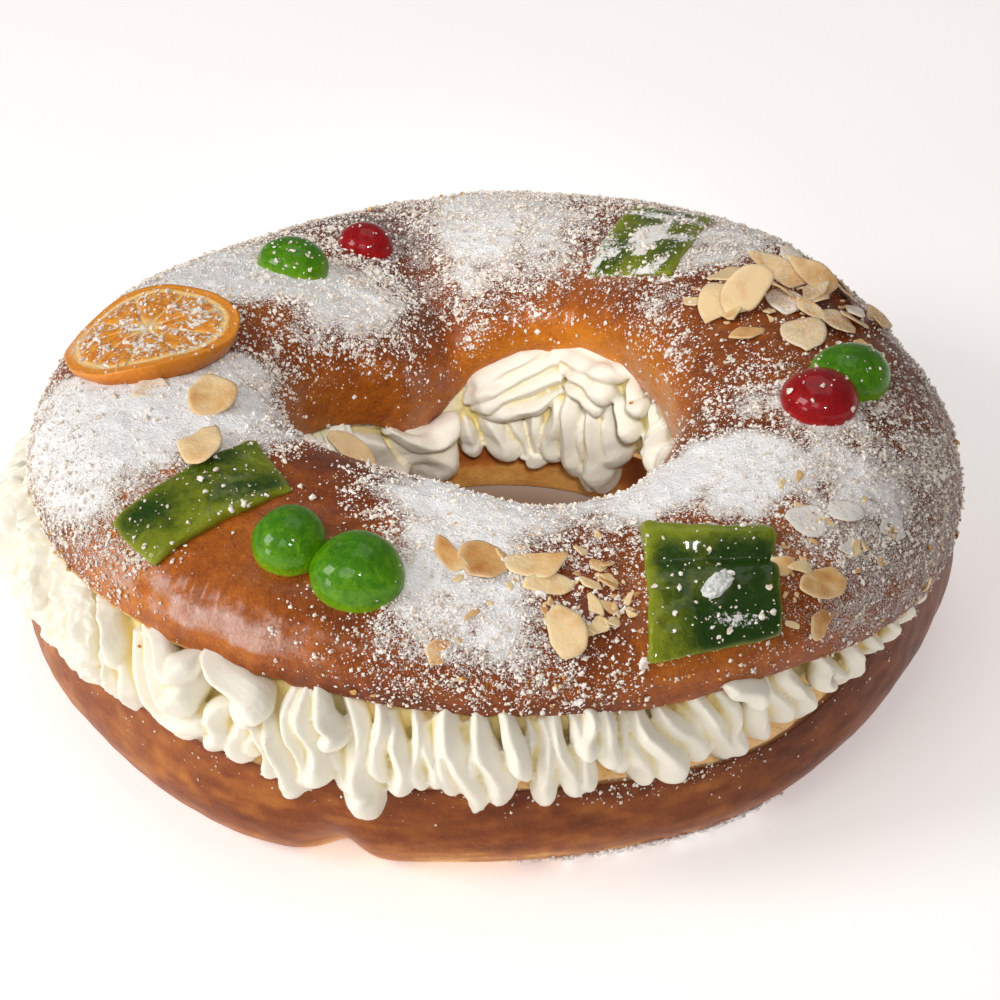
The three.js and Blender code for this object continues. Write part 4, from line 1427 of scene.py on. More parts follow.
    def grown(self, draft: bpy.types.Object) -> Skin:
        """Grows the draft's parts into one closed skin and removes the draft."""
        remesh = draft.modifiers.new("grown", "REMESH")
        remesh.mode = "VOXEL"
        remesh.voxel_size = self.voxel * MM
        smooth = draft.modifiers.new("soft", "SMOOTH")
        smooth.factor = 0.5
        smooth.iterations = 1
        shaped = draft.evaluated_get(bpy.context.evaluated_depsgraph_get()).to_mesh()
        places = np.empty(len(shaped.vertices) * 3, np.float32)
        shaped.vertices.foreach_get("co", places)
        corners = places.reshape(-1, 3).astype(float) / MM - RING_MIDDLE
        indices = np.empty(len(shaped.loops), np.int32)
        shaped.loops.foreach_get("vertex_index", indices)
        totals = np.empty(len(shaped.polygons), np.int32)
        starts = np.empty(len(shaped.polygons), np.int32)
        shaped.polygons.foreach_get("loop_total", totals)
        shaped.polygons.foreach_get("loop_start", starts)
        faces = []
        for count in np.unique(totals):
            first = starts[totals == count]
            faces.append(indices[first[:, None] + np.arange(count)[None, :]].astype(np.int64))
        mesh = draft.data
        bpy.data.objects.remove(draft)
        bpy.data.meshes.remove(mesh)
        return Skin(corners, faces)

    def softened(self, skin: Skin) -> Skin:
        """Adds the cream's fine unevenness and marks its creases and recesses for painted shade.

        Args:
            skin: the grown skin.

        Returns:
            The skin with the mark that paints shade into its creases.
        """
        quads, count = skin.faces[-1], len(skin.corners)
        pairs = np.concatenate([quads[:, [k, (k + 1) % 4]] for k in range(4)])
        links = np.bincount(pairs[:, 0], minlength=count) + np.bincount(pairs[:, 1], minlength=count)
        even = skin.corners.copy()
        for _ in range(14):
            for axis in range(3):
                total = np.bincount(pairs[:, 0], even[pairs[:, 1], axis], count)
                total = total + np.bincount(pairs[:, 1], even[pairs[:, 0], axis], count)
                even[:, axis] = np.where(links > 0, total / np.maximum(links, 1), even[:, axis])
        radius = np.linalg.norm(skin.corners[:, :2], axis=1)
        is_outer = radius > 98.0
        out = np.where(is_outer, 1.0, -1.0)[:, None] * unit(skin.corners * np.array([1.0, 1.0, 0.0]))
        crease = np.clip(np.sum((even - skin.corners) * out, axis=1) / 0.7, -1.0, 1.0)
        behind = np.where(is_outer, self.outer.depth(skin.corners), self.inner.depth(skin.corners))
        # painted shade: creases, and places set back behind the plain side, get the deeper colour
        hollow_shade = np.clip(0.75 * crease + 0.75 * smooth_step(behind, -2.0, 3.5), 0.0, 1.0)
        turn = np.degrees(np.arctan2(skin.corners[:, 1], skin.corners[:, 0]))
        torn = is_outer * smooth_step(28.0 - np.abs(turn_between(turn, -160.0)), 0.0, 9.0)
        wobble = 0.22 * Noise(5.0, 61).at(skin.corners) + 0.12 * Noise(1.9, 62).at(skin.corners)
        shreds = 1.5 * np.abs(Noise(4.2, 70).at(skin.corners)) + 0.9 * Noise(2.6, 63).at(skin.corners)
        wobble = wobble + torn * (shreds + 0.5 * Noise(1.3, 64).at(skin.corners))
        marks = {"hollow_shade": hollow_shade, "sugar": np.zeros(count)}
        slow = np.stack([Noise(12.0, 65 + k).at(skin.corners) for k in range(3)], axis=-1)
        quick = np.stack([Noise(5.5, 68 + k).at(skin.corners) for k in range(3)], axis=-1)
        drift = (slow + 0.4 * quick) * np.array([1.7, 1.7, 1.2])
        crisp = self.crispness * (skin.corners - even)
        return Skin(skin.corners + crisp + out * wobble[:, None] + drift, skin.faces, marks)


@dataclass(frozen=True)
class OrangeSlice:
    """The dried orange slice with its rind, membranes and swollen flesh."""

    angle: float = 181.4
    across: float = 0.45
    long: float = 24.0
    wide: float = 26.5
    thick: float = 3.3
    turn: float = 6.0
    tilt: float = 0.09
    segments: int = 9
    rings: int = 44
    sides: int = 200

    def build(self, finish: bpy.types.Material) -> Skin:
        """Makes the slice and returns its skin for what is strewn on it."""
        top, rim, under = np.linspace(0.02, 1.0, self.rings), np.ones(8), np.linspace(1.0, 0.02, 12)
        share = np.concatenate([top, rim, under])
        level = np.concatenate([np.ones(self.rings), np.linspace(0.9, 0.1, 8), np.zeros(12)])
        turn = 2.0 * np.pi * np.arange(self.sides) / self.sides
        shares, turns = np.broadcast_arrays(share[:, None], turn[None, :])
        reach = shares * (1.0 + 0.02 * np.cos(3.0 * turns + 0.6) + 0.006 * np.cos(11.0 * turns))
        belly = np.sin(np.pi * level)[:, None] * 0.02
        x, y = (reach + belly) * self.wide * np.cos(turns), (reach + belly) * self.long * np.sin(turns)
        spoke = np.abs(np.sin(self.segments * (turns + 0.25) / 2.0)) * np.minimum(shares * 3.0, 1.0)
        membrane = np.clip(1.0 - spoke * shares * 6.5, 0.0, 1.0) * (shares < 0.86)
        membrane = np.maximum(membrane, np.exp(-(((shares - 0.85) / 0.05) ** 2)))
        membrane = np.maximum(membrane, np.exp(-((shares / 0.1) ** 2)))
        rind = smooth_step(shares, 0.87, 0.93)
        lump = Noise(5.0, 71).at(np.stack([x, y, 0.0 * x], -1))
        flesh = (0.35 + 0.45 * np.minimum(spoke * 2.0, 1.0) + 0.5 * lump) * (1.0 - rind) * (1.0 - membrane)
        height = self.thick * (0.72 + 0.28 * shares**6) + 0.5 * np.cos(4.0 * turns) * shares + flesh
        lift = np.where(level[:, None] > 0.0, -0.8 + (height + 0.8) * level[:, None], -0.8)
        lift = lift + self.tilt * (y + self.long) * (0.5 + 0.5 * level[:, None])
        angles, places = CROWN.walk(self.angle, self.across, self.turn, x.ravel(), y.ravel())
        corners = CROWN.point(angles, places, lift.ravel())
        rows = len(share)
        loop = np.arange(self.sides)[None, :]
        caps = [loop, (rows - 1) * self.sides + loop[:, ::-1]]
        heap = 0.5 - 0.3 * smooth_step(shares, 0.78, 0.95)
        lumps = Noise(5.0, 72).at(corners.reshape(*x.shape, 3))
        sugar = np.clip(heap * (1.0 + 0.35 * lumps), 0.0, 1.0) * (level[:, None] > 0.95)
        edge = smooth_step(shares, 0.965, 1.0) * (1.15 - level[:, None])
        marks = {"membrane": membrane, "rind": rind, "sugar": sugar, "edge": np.clip(edge, 0.0, 1.0)}
        skin = Skin(
            corners,
            [grid_faces(rows, self.sides, False, True), *caps],
            {name: np.broadcast_to(values, x.shape).ravel() for name, values in marks.items()},
        )
        dress(skin.make("orange_wheel", finish), Slot.ORANGE, "orange_slice")
        return skin


@dataclass(frozen=True)
class CandiedPeel:
    """A piece of green candied peel that follows the dough."""

    node: str
    angle: float
    across: float
    long: float
    wide: float
    turn: float
    taper: float
    skew: float
    slope: float
    thick: float = 3.4
    fold: float = 0.0
    bumpy: float = 0.0
    sugar_heap: Triple = (0.0, 0.0, 0.0)
    sugar_all: float = 0.1
    light_end: float = 0.0
    light_all: float = 0.0

    def build(self, finish: bpy.types.Material) -> Skin:
        """Makes the piece and returns its skin for what is strewn on it."""
        count_u, count_v, count_w = 110, 70, 9
        u = np.linspace(-1.0, 1.0, count_u)
        v = np.linspace(-1.0, 1.0, count_v)
        loop_v = np.concatenate([v, np.full(count_w, 1.0), v[::-1], np.full(count_w, -1.0)])
        fall = np.linspace(0.92, 0.08, count_w)
        loop_w = np.concatenate([np.ones(count_v), fall, np.zeros(count_v), fall[::-1]])
        us, vs = np.broadcast_arrays(u[:, None], loop_v[None, :])
        ws = np.broadcast_to(loop_w[None, :], us.shape)
        bulge = np.sin(np.pi * ws) * 0.35
        wide = self.wide * (1.0 - self.taper * us)
        long = self.long * (1.0 + self.slope * vs)
        x = vs * (wide / 2.0 + bulge) + self.skew * us
        y = us * long / 2.0
        flat = np.stack([x, y, ws * 3.0], axis=-1)
        edge_wobble = 0.45 * Noise(5.0, 81).at(flat)
        x = x + edge_wobble * np.abs(vs) ** 6
        y = y + 0.45 * Noise(5.0, 82).at(flat) * np.abs(us) ** 6
        height = self.thick * (1.0 - 0.14 * (1.0 - np.cos(2.2 * us + 1.3 * vs)))
        near_fold = np.exp(-(((us - 0.8) / 0.22) ** 2))
        height = height + 0.5 * Noise(7.0, 83).at(flat) + 0.2 * Noise(2.6, 87).at(flat)
        height = height + self.bumpy * Noise(3.2, 84).at(flat) * smooth_step(-vs, 0.3, 0.95)
        crest, trough = np.exp(-(((us - 0.72) / 0.2) ** 2)), np.exp(-(((us - 0.38) / 0.14) ** 2))
        height = height + self.fold * (crest - 0.7 * trough)
        rounding = (np.abs(us) ** 14 + np.abs(vs) ** 14) * 0.9
        lift = np.where(ws > 0.5, (height - rounding) * ws, -0.8 + (height + 0.8) * ws)
        angles, places = CROWN.walk(self.angle, self.across, self.turn, x.ravel(), y.ravel())
        corners = CROWN.point(angles, places, lift.ravel())
        heap_x, heap_y, heap_amount = self.sugar_heap
        from_heap = ((vs - heap_x) / 0.6) ** 2 + ((us - heap_y) / 0.4) ** 2
        heap = self.sugar_all + heap_amount * np.exp(-from_heap)
        sugar = np.clip(heap * (1.0 + 0.8 * Noise(5.0, 85).at(flat)), 0.0, 1.0) * (ws > 0.9)
        edge = np.clip(np.abs(vs) ** 20 + np.abs(us) ** 20 + (ws < 0.9) * 0.8, 0.0, 1.0)
        light = self.light_end * smooth_step(vs - us, -0.2, 1.4) + 0.6 * Noise(11.0, 86).at(flat)
        light = light + self.light_all + 0.85 * near_fold * (self.fold > 0.0)
        light = light + 0.35 * (np.abs(us) ** 6 + np.abs(vs) ** 6)
        # painted light: the bumpy piece's left border is lighter, a glow standing in for light shining
        # through its thin edge
        light = light + 0.5 * self.bumpy * smooth_step(-vs, 0.6, 1.0)
        marks = {"sugar": sugar, "edge": edge * 0.5, "light": light}
        width = us.shape[1]
        loop = np.arange(width)[None, :]
        ends = [loop[:, ::-1], (count_u - 1) * width + loop]
        skin = Skin(
            corners,
            [grid_faces(count_u, width, False, True)[:, ::-1], *ends],
            {name: np.broadcast_to(values, us.shape).ravel() for name, values in marks.items()},
        )
        dress(skin.make(self.node.replace("candied", "green"), finish), Slot.PEEL, self.node)
        return skin


@dataclass(frozen=True)
class GlazedCherry:
    """A candied cherry pressed into the dough."""

    node: str
    angle: float
    across: float
    radius: float
    sink: float
    squat: float = 0.86
    dent: float = 0.0
    dusted: float = 0.02

    def build(self, finish: bpy.types.Material, slot: Slot) -> Skin:
        """Makes the cherry and returns its skin for what is strewn on it."""
        ball = ball_skin(56, 84)
        x, y, z = ball.corners.T
        turn = np.arctan2(y, x)
        plump = self.radius * (1.0 + 0.03 * np.cos(2.0 * turn + self.angle) + 0.02 * np.cos(3.0 * turn + 1.0))
        seed = int(abs(self.angle) * 10) % 97
        wrinkle = 0.022 * Noise(0.8, seed).at(ball.corners) + 0.008 * Noise(0.3, seed + 1).at(ball.corners)
        dimple = self.dent * np.exp(-(((x + 0.35) / 0.22) ** 2) - ((y - 0.1) / 0.3) ** 2) * (z > 0)
        size = 1.0 + wrinkle - dimple
        tall = self.radius * self.squat
        centre = tall * (1.0 - 2.0 * self.sink)
        local = np.stack([plump * x * size, plump * y * size, centre + tall * z * size], axis=-1)
        corners = CROWN.spot(self.angle, self.across).place(local)
        sugar = self.dusted * (z > 0.1) * (0.5 + 0.5 * Noise(0.5, seed + 2).at(ball.corners))
        # painted light: light and edge make the cherry lighter and yellower toward its bottom, a glow
        # standing in for light shining through it
        marks = {
            "sugar": np.clip(sugar, 0.0, 1.0),
            "edge": 0.7 * smooth_step(-z, -0.25, 0.5),
            "light": 0.45 - 0.25 * z,
        }
        skin = Skin(corners, ball.faces, marks)
        dress(skin.make(self.node.replace("cherry", "glazed_cherry"), finish), slot, self.node)
        return skin


@dataclass(frozen=True)
class Flake:
    """One almond flake: its place, turn, size, how its end and side tip up, and its tone."""

    angle: float
    across: float
    turn: float
    length: float
    width: float = 0.7
    tip: float = 0.0
    roll: float = 0.0
    toast: float = 0.3
    sugar: float = 0.1
    raised: float = 0.0
    cuts: int = 3
    nearest_cut: float = 0.6
    thick: float = 0.6

    def outline(self, turns: Array, random: np.random.Generator) -> Array:
        """Works out the outline, an egg with straight breaks.

        Args:
            turns: directions from the middle, in radians.
            random: the seeded source of the breaks.

        Returns:
            How far the rim lies in each direction, as a share of the half length.
        """
        reach = 1.0 + 0.05 * np.sin(3.0 * turns + random.uniform(0.0, 6.0)) + 0.03 * np.sin(5.0 * turns)
        for _ in range(self.cuts):
            facing = np.cos(turns - random.uniform(0.0, 2.0 * np.pi))
            reach = np.minimum(reach, random.uniform(self.nearest_cut, 0.93) / np.maximum(facing, 0.25))
        return reach

    def plate(self) -> tuple[Array, Array, Array, dict[str, Array]]:
        """Returns x, y and z of the tipped plate's corners and the marks they carry.

        Returns:
            Grids of numbers, whose rows run from the middle of the top round to the middle below.
        """
        rings, sides = (9, 44) if self.length > 4.5 else (4, 18)
        random = np.random.default_rng(int(abs(self.angle * 7.0 + self.across * 100.0)))
        share = np.concatenate([np.linspace(0.02, 1.0, rings), np.linspace(1.0, 0.02, rings)])
        level = np.concatenate([np.ones(rings), np.zeros(rings)])[:, None]
        turn = 2.0 * np.pi * np.arange(sides) / sides
        shares, turns = np.broadcast_arrays(share[:, None], turn[None, :])
        reach = shares * self.outline(turns, random) * self.length / 2.0
        x = reach * np.cos(turns) * self.width * (1.0 - 0.22 * np.sin(turns))
        y = reach * np.sin(turns)
        seeded = np.stack([x, y, 0.0 * x + random.uniform(0.0, 900.0)], axis=-1)
        half = self.length / 2.0
        bend = (y / half) ** 2 * random.uniform(-1.0, 1.4) + (x / half) ** 2 * random.uniform(0.0, 2.0)
        bend = 0.11 * half * bend + 0.35 * Noise(4.0, 3).at(seeded) + 0.1 * Noise(1.3, 4).at(seeded)
        z = bend + level * self.thick * (1.0 - 0.5 * shares**12)
        roll, tip = math.radians(self.roll), math.radians(self.tip)
        x, z = x * math.cos(roll) + z * math.sin(roll), z * math.cos(roll) - x * math.sin(roll)
        y, z = y * math.cos(tip) - z * math.sin(tip), y * math.sin(tip) + z * math.cos(tip)
        shade = random.uniform(-0.3, 0.3) * seeded[..., 1] / half
        values = {
            "toast": self.toast + shade + 0.2 * Noise(3.5, 5).at(seeded),
            "edge": shares**8,
            "sugar": self.sugar * level + 0.0 * x,
        }
        return x, y, z - z.min() - 0.35 + self.raised, values

    def closed(self, corners: Array, shape: tuple[int, ...], values: dict[str, Array]) -> Skin:
        """Returns the plate's skin with both middles closed."""
        rows, sides = shape
        loop = np.arange(sides)[None, :]
        ends = [loop, (rows - 1) * sides + loop[:, ::-1]]
        marks = {name: mark.ravel() for name, mark in values.items()}
        return Skin(corners, [grid_faces(rows, sides, False, True), *ends], marks)

    def skin(self) -> Skin:
        """Returns the flake laid on the crown."""
        x, y, z, values = self.plate()
        angles, places = CROWN.walk(self.angle, self.across, self.turn, x.ravel(), y.ravel())
        return self.closed(CROWN.point(angles, places, z.ravel()), x.shape, values)

    def leaning(self, spot: Spot) -> Skin:
        """Returns the flake held flat against a spot."""
        x, y, z, values = self.plate()
        cos, sin = math.cos(math.radians(self.turn)), math.sin(math.radians(self.turn))
        local = np.stack([x * cos - y * sin, x * sin + y * cos, z], axis=-1)
        return self.closed(spot.place(local).reshape(-1, 3), x.shape, values)


@dataclass
class AlmondFlakes:
    """The flaked almonds and their broken bits."""

    flakes: tuple[Flake, ...] = (
        Flake(32.8, 0.54, 5, 13, 0.8, 4, 6, 0.1, 0.15, 0.3),
        Flake(21.5, 0.62, 50, 18, 0.56, -17, -10, 0.05, 0.0, 0.4, 1),
        Flake(18, 0.56, 25, 19, 0.6, -40, -28, 0.2, 0.0, 0.8, 2),
        Flake(5.5, 0.6, 31, 12.5, 0.5, 4, -12, 0.55, 0.0, 0.4),
        Flake(25, 0.47, -47, 20, 0.36, 24, -44, 0.35, 0.35, 0.8, 1),
        Flake(21, 0.42, -60, 18.5, 0.4, 20, -34, 0.4, 0.25, 2.2, 1),
        Flake(32.5, 0.36, 81, 18, 0.42, -6, 8, 0.25, 0.6, 0.3),
        Flake(24.8, 0.285, 82, 15, 0.45, 4, -14, 0.8, 0.0, 0.2),
        Flake(7.5, 0.41, 90, 17.5, 0.66, 5, -6, 0.3, 0.4, 0.3, 3),
        Flake(2.5, 0.495, 92, 18, 0.74, -5, 4, 0.2, 0.4, 0.5, 2, 0.75),
        Flake(16, 0.49, -64, 17, 0.6, 8, -8, 0.4, 0.6, 0.3),
        Flake(27.8, 0.5, 89, 12, 0.55, 0, -12, 0.4, 0.5, 0.6),
        Flake(13, 0.34, 73, 16, 0.4, 6, 10, 0.4, 0.6, 0.2),
        Flake(14.5, 0.265, -84, 12, 0.7, 8, -16, 0.5, 0.4, 0.0),
        Flake(11, 0.29, 70, 10, 0.5, 12, -20, 0.6, 0.3, 0.0),
        Flake(0.8, 0.385, -51, 8, 0.7, 4, 0, 0.35, 0.1, 0.3),
        Flake(18.5, 0.5, -38, 15, 0.5, 22, 24, 0.3, 0.3, 1.6, 2),
        Flake(14.5, 0.44, 12, 13, 0.6, -12, 20, 0.45, 0.4, 0.8),
        Flake(23.5, 0.52, 68, 14, 0.5, 14, -26, 0.25, 0.3, 1.2, 2),
        Flake(28.5, 0.44, -30, 15, 0.4, 18, 30, 0.3, 0.5, 0.8, 2),
        Flake(17.5, 0.43, 40, 14, 0.55, -16, 14, 0.4, 0.45, 1.4),
        Flake(11.5, 0.46, -50, 11, 0.6, 16, -12, 0.35, 0.35, 1.0),
        Flake(20.5, 0.34, -70, 15, 0.42, 10, 22, 0.5, 0.4, 1.0, 2),
        Flake(28, 0.32, 88, 13, 0.42, -8, -20, 0.4, 0.5, 0.4),
        Flake(15.5, 0.6, 84, 10, 0.66, 10, 12, 0.15, 0.05, 0.6),
        Flake(25, 0.6, -20, 11, 0.6, -12, 16, 0.1, 0.1, 0.5),
        Flake(9, 0.37, -25, 10, 0.6, 12, 14, 0.5, 0.4, 0.5),
        Flake(30, 0.66, -70, 8, 0.6, 4, 4, 0.1, 0.2, 0.1),
        Flake(-96.2, 0.43, 35, 13, 0.58, 8, -14, 0.65, 0.0, 0.3, 3),
        Flake(-91, 0.435, -53, 15.7, 0.85, -4, 6, 0.7, 0.15, 0.3, 2),
        Flake(-84, 0.435, -77, 17.2, 0.74, 6, -5, 0.3, 0.1, 0.6, 2),
        Flake(-82.8, 0.376, -83, 14.5, 0.56, -4, 8, 0.15, 0.05, 0.3, 1),
        Flake(-81.8, 0.24, 6, 15.6, 0.68, 0, -10, 0.25, 0.1, 0.5, 2, 0.8),
        Flake(-78.2, 0.24, -83, 8, 0.5, 4, 6, 0.2, 0.05, 0.3, 2),
        Flake(-77, 0.38, 53, 8.8, 0.6, 8, 10, 0.2, 0.1, 0.2, 4, 0.4),
        Flake(-77.8, 0.316, 8, 10.5, 0.38, 0, -12, 0.15, 0.1, 0.2, 3, 0.5),
        Flake(-76.2, 0.31, 49, 6.4, 0.6, 4, 0, 0.35, 0.2, 0.1, 3, 0.4),
        Flake(-74.8, 0.395, 25, 5.4, 0.6, 10, 6, 0.3, 0.1, 0.1, 3, 0.5),
        Flake(-96, 0.15, -47, 8, 0.85, 0, 8, 0.6, 0.35, 0.2, 2),
        Flake(-94.2, 0.2, 69, 6, 0.4, 0, 10, 0.5, 0.3, 0.2),
        Flake(-45.5, 0.355, 57, 12, 0.95, 4, -4, 0.2, 0.7, 0.2, 3, 0.75),
        Flake(-40.2, 0.315, 64, 11, 0.8, -4, 6, 0.3, 0.75, 0.3, 3, 0.7),
        Flake(-43.8, 0.232, 78, 8, 0.55, 6, 0, 0.3, 0.7, 0.2),
        Flake(-36, 0.19, 65, 10.7, 0.7, 0, 3, 0.3, 0.85, 0.1, 4, 0.75),
        Flake(-50.2, 0.185, 81, 17.6, 0.5, 4, 24, 0.5, 0.0, 0.2, 2, 0.7),
        Flake(-53.2, 0.292, 36, 8, 0.85, 4, -8, 0.5, 0.2, 0.3),
        Flake(-51.5, 0.256, 69, 8.4, 0.5, 6, 4, 0.2, 0.3, 0.2, 3, 0.5),
        Flake(-52.2, 0.068, -87, 9.6, 0.8, -6, 0, 0.65, 0.1, 0.2, 3, 0.65),
        Flake(-55.8, 0.104, 55, 5.2, 0.4, 0, 0, 0.0, 0.3, 0.1),
        Flake(-34.5, 0.0, 32, 10, 0.3, 30, 0, 0.2, 0.2, 0.3, 1),
        Flake(-153.8, 0.57, 74, 17.0, 0.76, 14, -8, 0.45, 0.0, 0.5, 1, 0.88),
        Flake(-139.8, 0.475, 30, 17.2, 0.7, 0, -6, 0.15, 0.0, 4.0, 2, 0.75),
        Flake(-160.5, 0.48, -27, 12, 0.95, 0, 4, 0.3, 0.55, 0.3, 3, 0.7),
    )
    hole_flake: Flake = Flake(0.5, 0.0, 42, 21, 0.36, 4, 10, 0.1, 0.0, 0.6, 1, 0.8)
    hole_place: tuple[float, float] = (163.0, 0.78)
    shards: int = 110
    seed: int = 5

    def build(self, finish: bpy.types.Material) -> bpy.types.Object:
        """Makes the flakes and shards as one piece."""
        random = np.random.default_rng(self.seed)
        beds = ((22, 0.47, 14, 0.16), (-86, 0.4, 13, 0.14), (-45, 0.3, 10, 0.16), (-78, 0.32, 6, 0.12))
        skins = [flake.skin() for flake in self.flakes]
        wall = CreamFilling.inner
        angle, share = self.hole_place
        origin = wall.point(np.array([angle]), np.array([share]), 6.0)[0]
        away = unit(np.array([0.55, -0.75, 0.45]))
        along = unit(np.cross(np.array([0.0, 0.0, 1.0]), away))
        skins.append(self.hole_flake.leaning(Spot(origin, np.stack([along, np.cross(away, along), away]))))
        for k in range(self.shards):
            angle, across, wide, deep = beds[k % len(beds)]
            place = (angle + wide * random.uniform(-1, 1), across + deep * random.uniform(-1, 1))
            length, width = 1.8 + 5.0 * random.random() ** 2, random.uniform(0.4, 0.9)
            tip, roll, toast = random.uniform(0, 25), random.uniform(-25, 25), random.uniform(0.0, 0.6)
            turn = random.uniform(0, 360)
            shard = Flake(*place, turn, length, width, tip, roll, toast, 0.2, 0.1, 4, 0.35, 0.6)
            skins.append(shard.skin())
        return dress(Skin.joined(skins).make("almond_flakes", finish), Slot.CROWN)


@dataclass(frozen=True)
class Strewn:
    """Small loose bits of one kind that lie on skins."""

    name: str
    count: int
    smallest: float
    largest: float
    seed: int
    slot: Slot = Slot.CROWN
    flat: float = 0.8
    sink: float = 0.1
    skew: float = 2.2
    is_round: bool = False

    def bit(self) -> tuple[Array, Array]:
        """Returns corners and faces of one bit: an eight-sided grain, or one with thirty-two sides."""
        corners = np.array([[1, 0, 0], [0, 1, 0], [-1, 0, 0], [0, -1, 0], [0, 0, 1], [0, 0, -1]], float)
        upper = [[0, 1, 4], [1, 2, 4], [2, 3, 4], [3, 0, 4]]
        lower = [[1, 0, 5], [2, 1, 5], [3, 2, 5], [0, 3, 5]]
        faces = np.array(upper + lower)
        if not self.is_round:
            return corners, faces
        pairs = np.sort(np.concatenate([faces[:, [0, 1]], faces[:, [1, 2]], faces[:, [2, 0]]]), axis=1)
        edges, index = np.unique(pairs, axis=0, return_inverse=True)
        middles = unit(corners[edges[:, 0]] + corners[edges[:, 1]])
        ab, bc, ca = (len(corners) + part for part in index.reshape(3, -1))
        a, b, c = faces.T
        parts = ((a, ab, ca), (b, bc, ab), (c, ca, bc), (ab, bc, ca))
        return np.concatenate([corners, middles]), np.concatenate([np.stack(part, axis=1) for part in parts])

    def build(self, beds: Sequence[tuple[Skin, Array]], finish: bpy.types.Material) -> None:
        """Strews the bits.

        Args:
            beds: skins to lie on, each with how thickly the bits lie at its corners.
            finish: the bits' material.
        """
        random = np.random.default_rng(self.seed)
        firsts, edges_a, edges_b, weights = [], [], [], []
        for skin, thickness in beds:
            triangles = skin.triangles()
            a, b, c = (skin.corners[triangles[:, k]] for k in range(3))
            normal = np.cross(b - a, c - a)
            area = np.linalg.norm(normal, axis=1) / 2.0
            weights.append(area * thickness[triangles].mean(axis=1))
            firsts.append(a)
            edges_a.append(b - a)
            edges_b.append(c - a)
        weight = np.concatenate(weights)
        picks = random.choice(len(weight), self.count, p=weight / weight.sum())
        first, edge_a, edge_b = (np.concatenate(part)[picks] for part in (firsts, edges_a, edges_b))
        s, t = random.random((2, self.count))
        fold = s + t > 1.0
        s, t = np.where(fold, 1.0 - s, s), np.where(fold, 1.0 - t, t)
        normal = unit(np.cross(edge_a, edge_b))
        centre = first + edge_a * s[:, None] + edge_b * t[:, None]
        size = self.smallest + (self.largest - self.smallest) * random.random(self.count) ** self.skew
        axis_a = unit(np.cross(normal, random.normal(size=(self.count, 3))))
        axis_b = np.cross(normal, axis_a)
        corners, faces = self.bit()
        jitter = 1.0 + 0.9 * (random.random((self.count, len(corners))) - 0.5)
        local = corners[None] * jitter[..., None] * (size / 2.0)[:, None, None]
        stretch = 0.6 + 0.7 * random.random((self.count, 2))
        centre = centre + normal * (size * (0.5 * self.flat - self.sink))[:, None]
        points = (
            centre[:, None]
            + axis_a[:, None] * (local[..., :1] * stretch[:, None, :1])
            + axis_b[:, None] * (local[..., 1:2] * stretch[:, None, 1:])
            + normal[:, None] * (local[..., 2:] * self.flat)
        )
        points[..., 2] = np.maximum(points[..., 2], 0.0)
        shift = (np.arange(self.count) * len(corners))[:, None, None]
        skin = Skin(points.reshape(-1, 3), [(faces[None] + shift).reshape(-1, 3)])
        dress(skin.make(self.name, finish, smooth=False), self.slot)


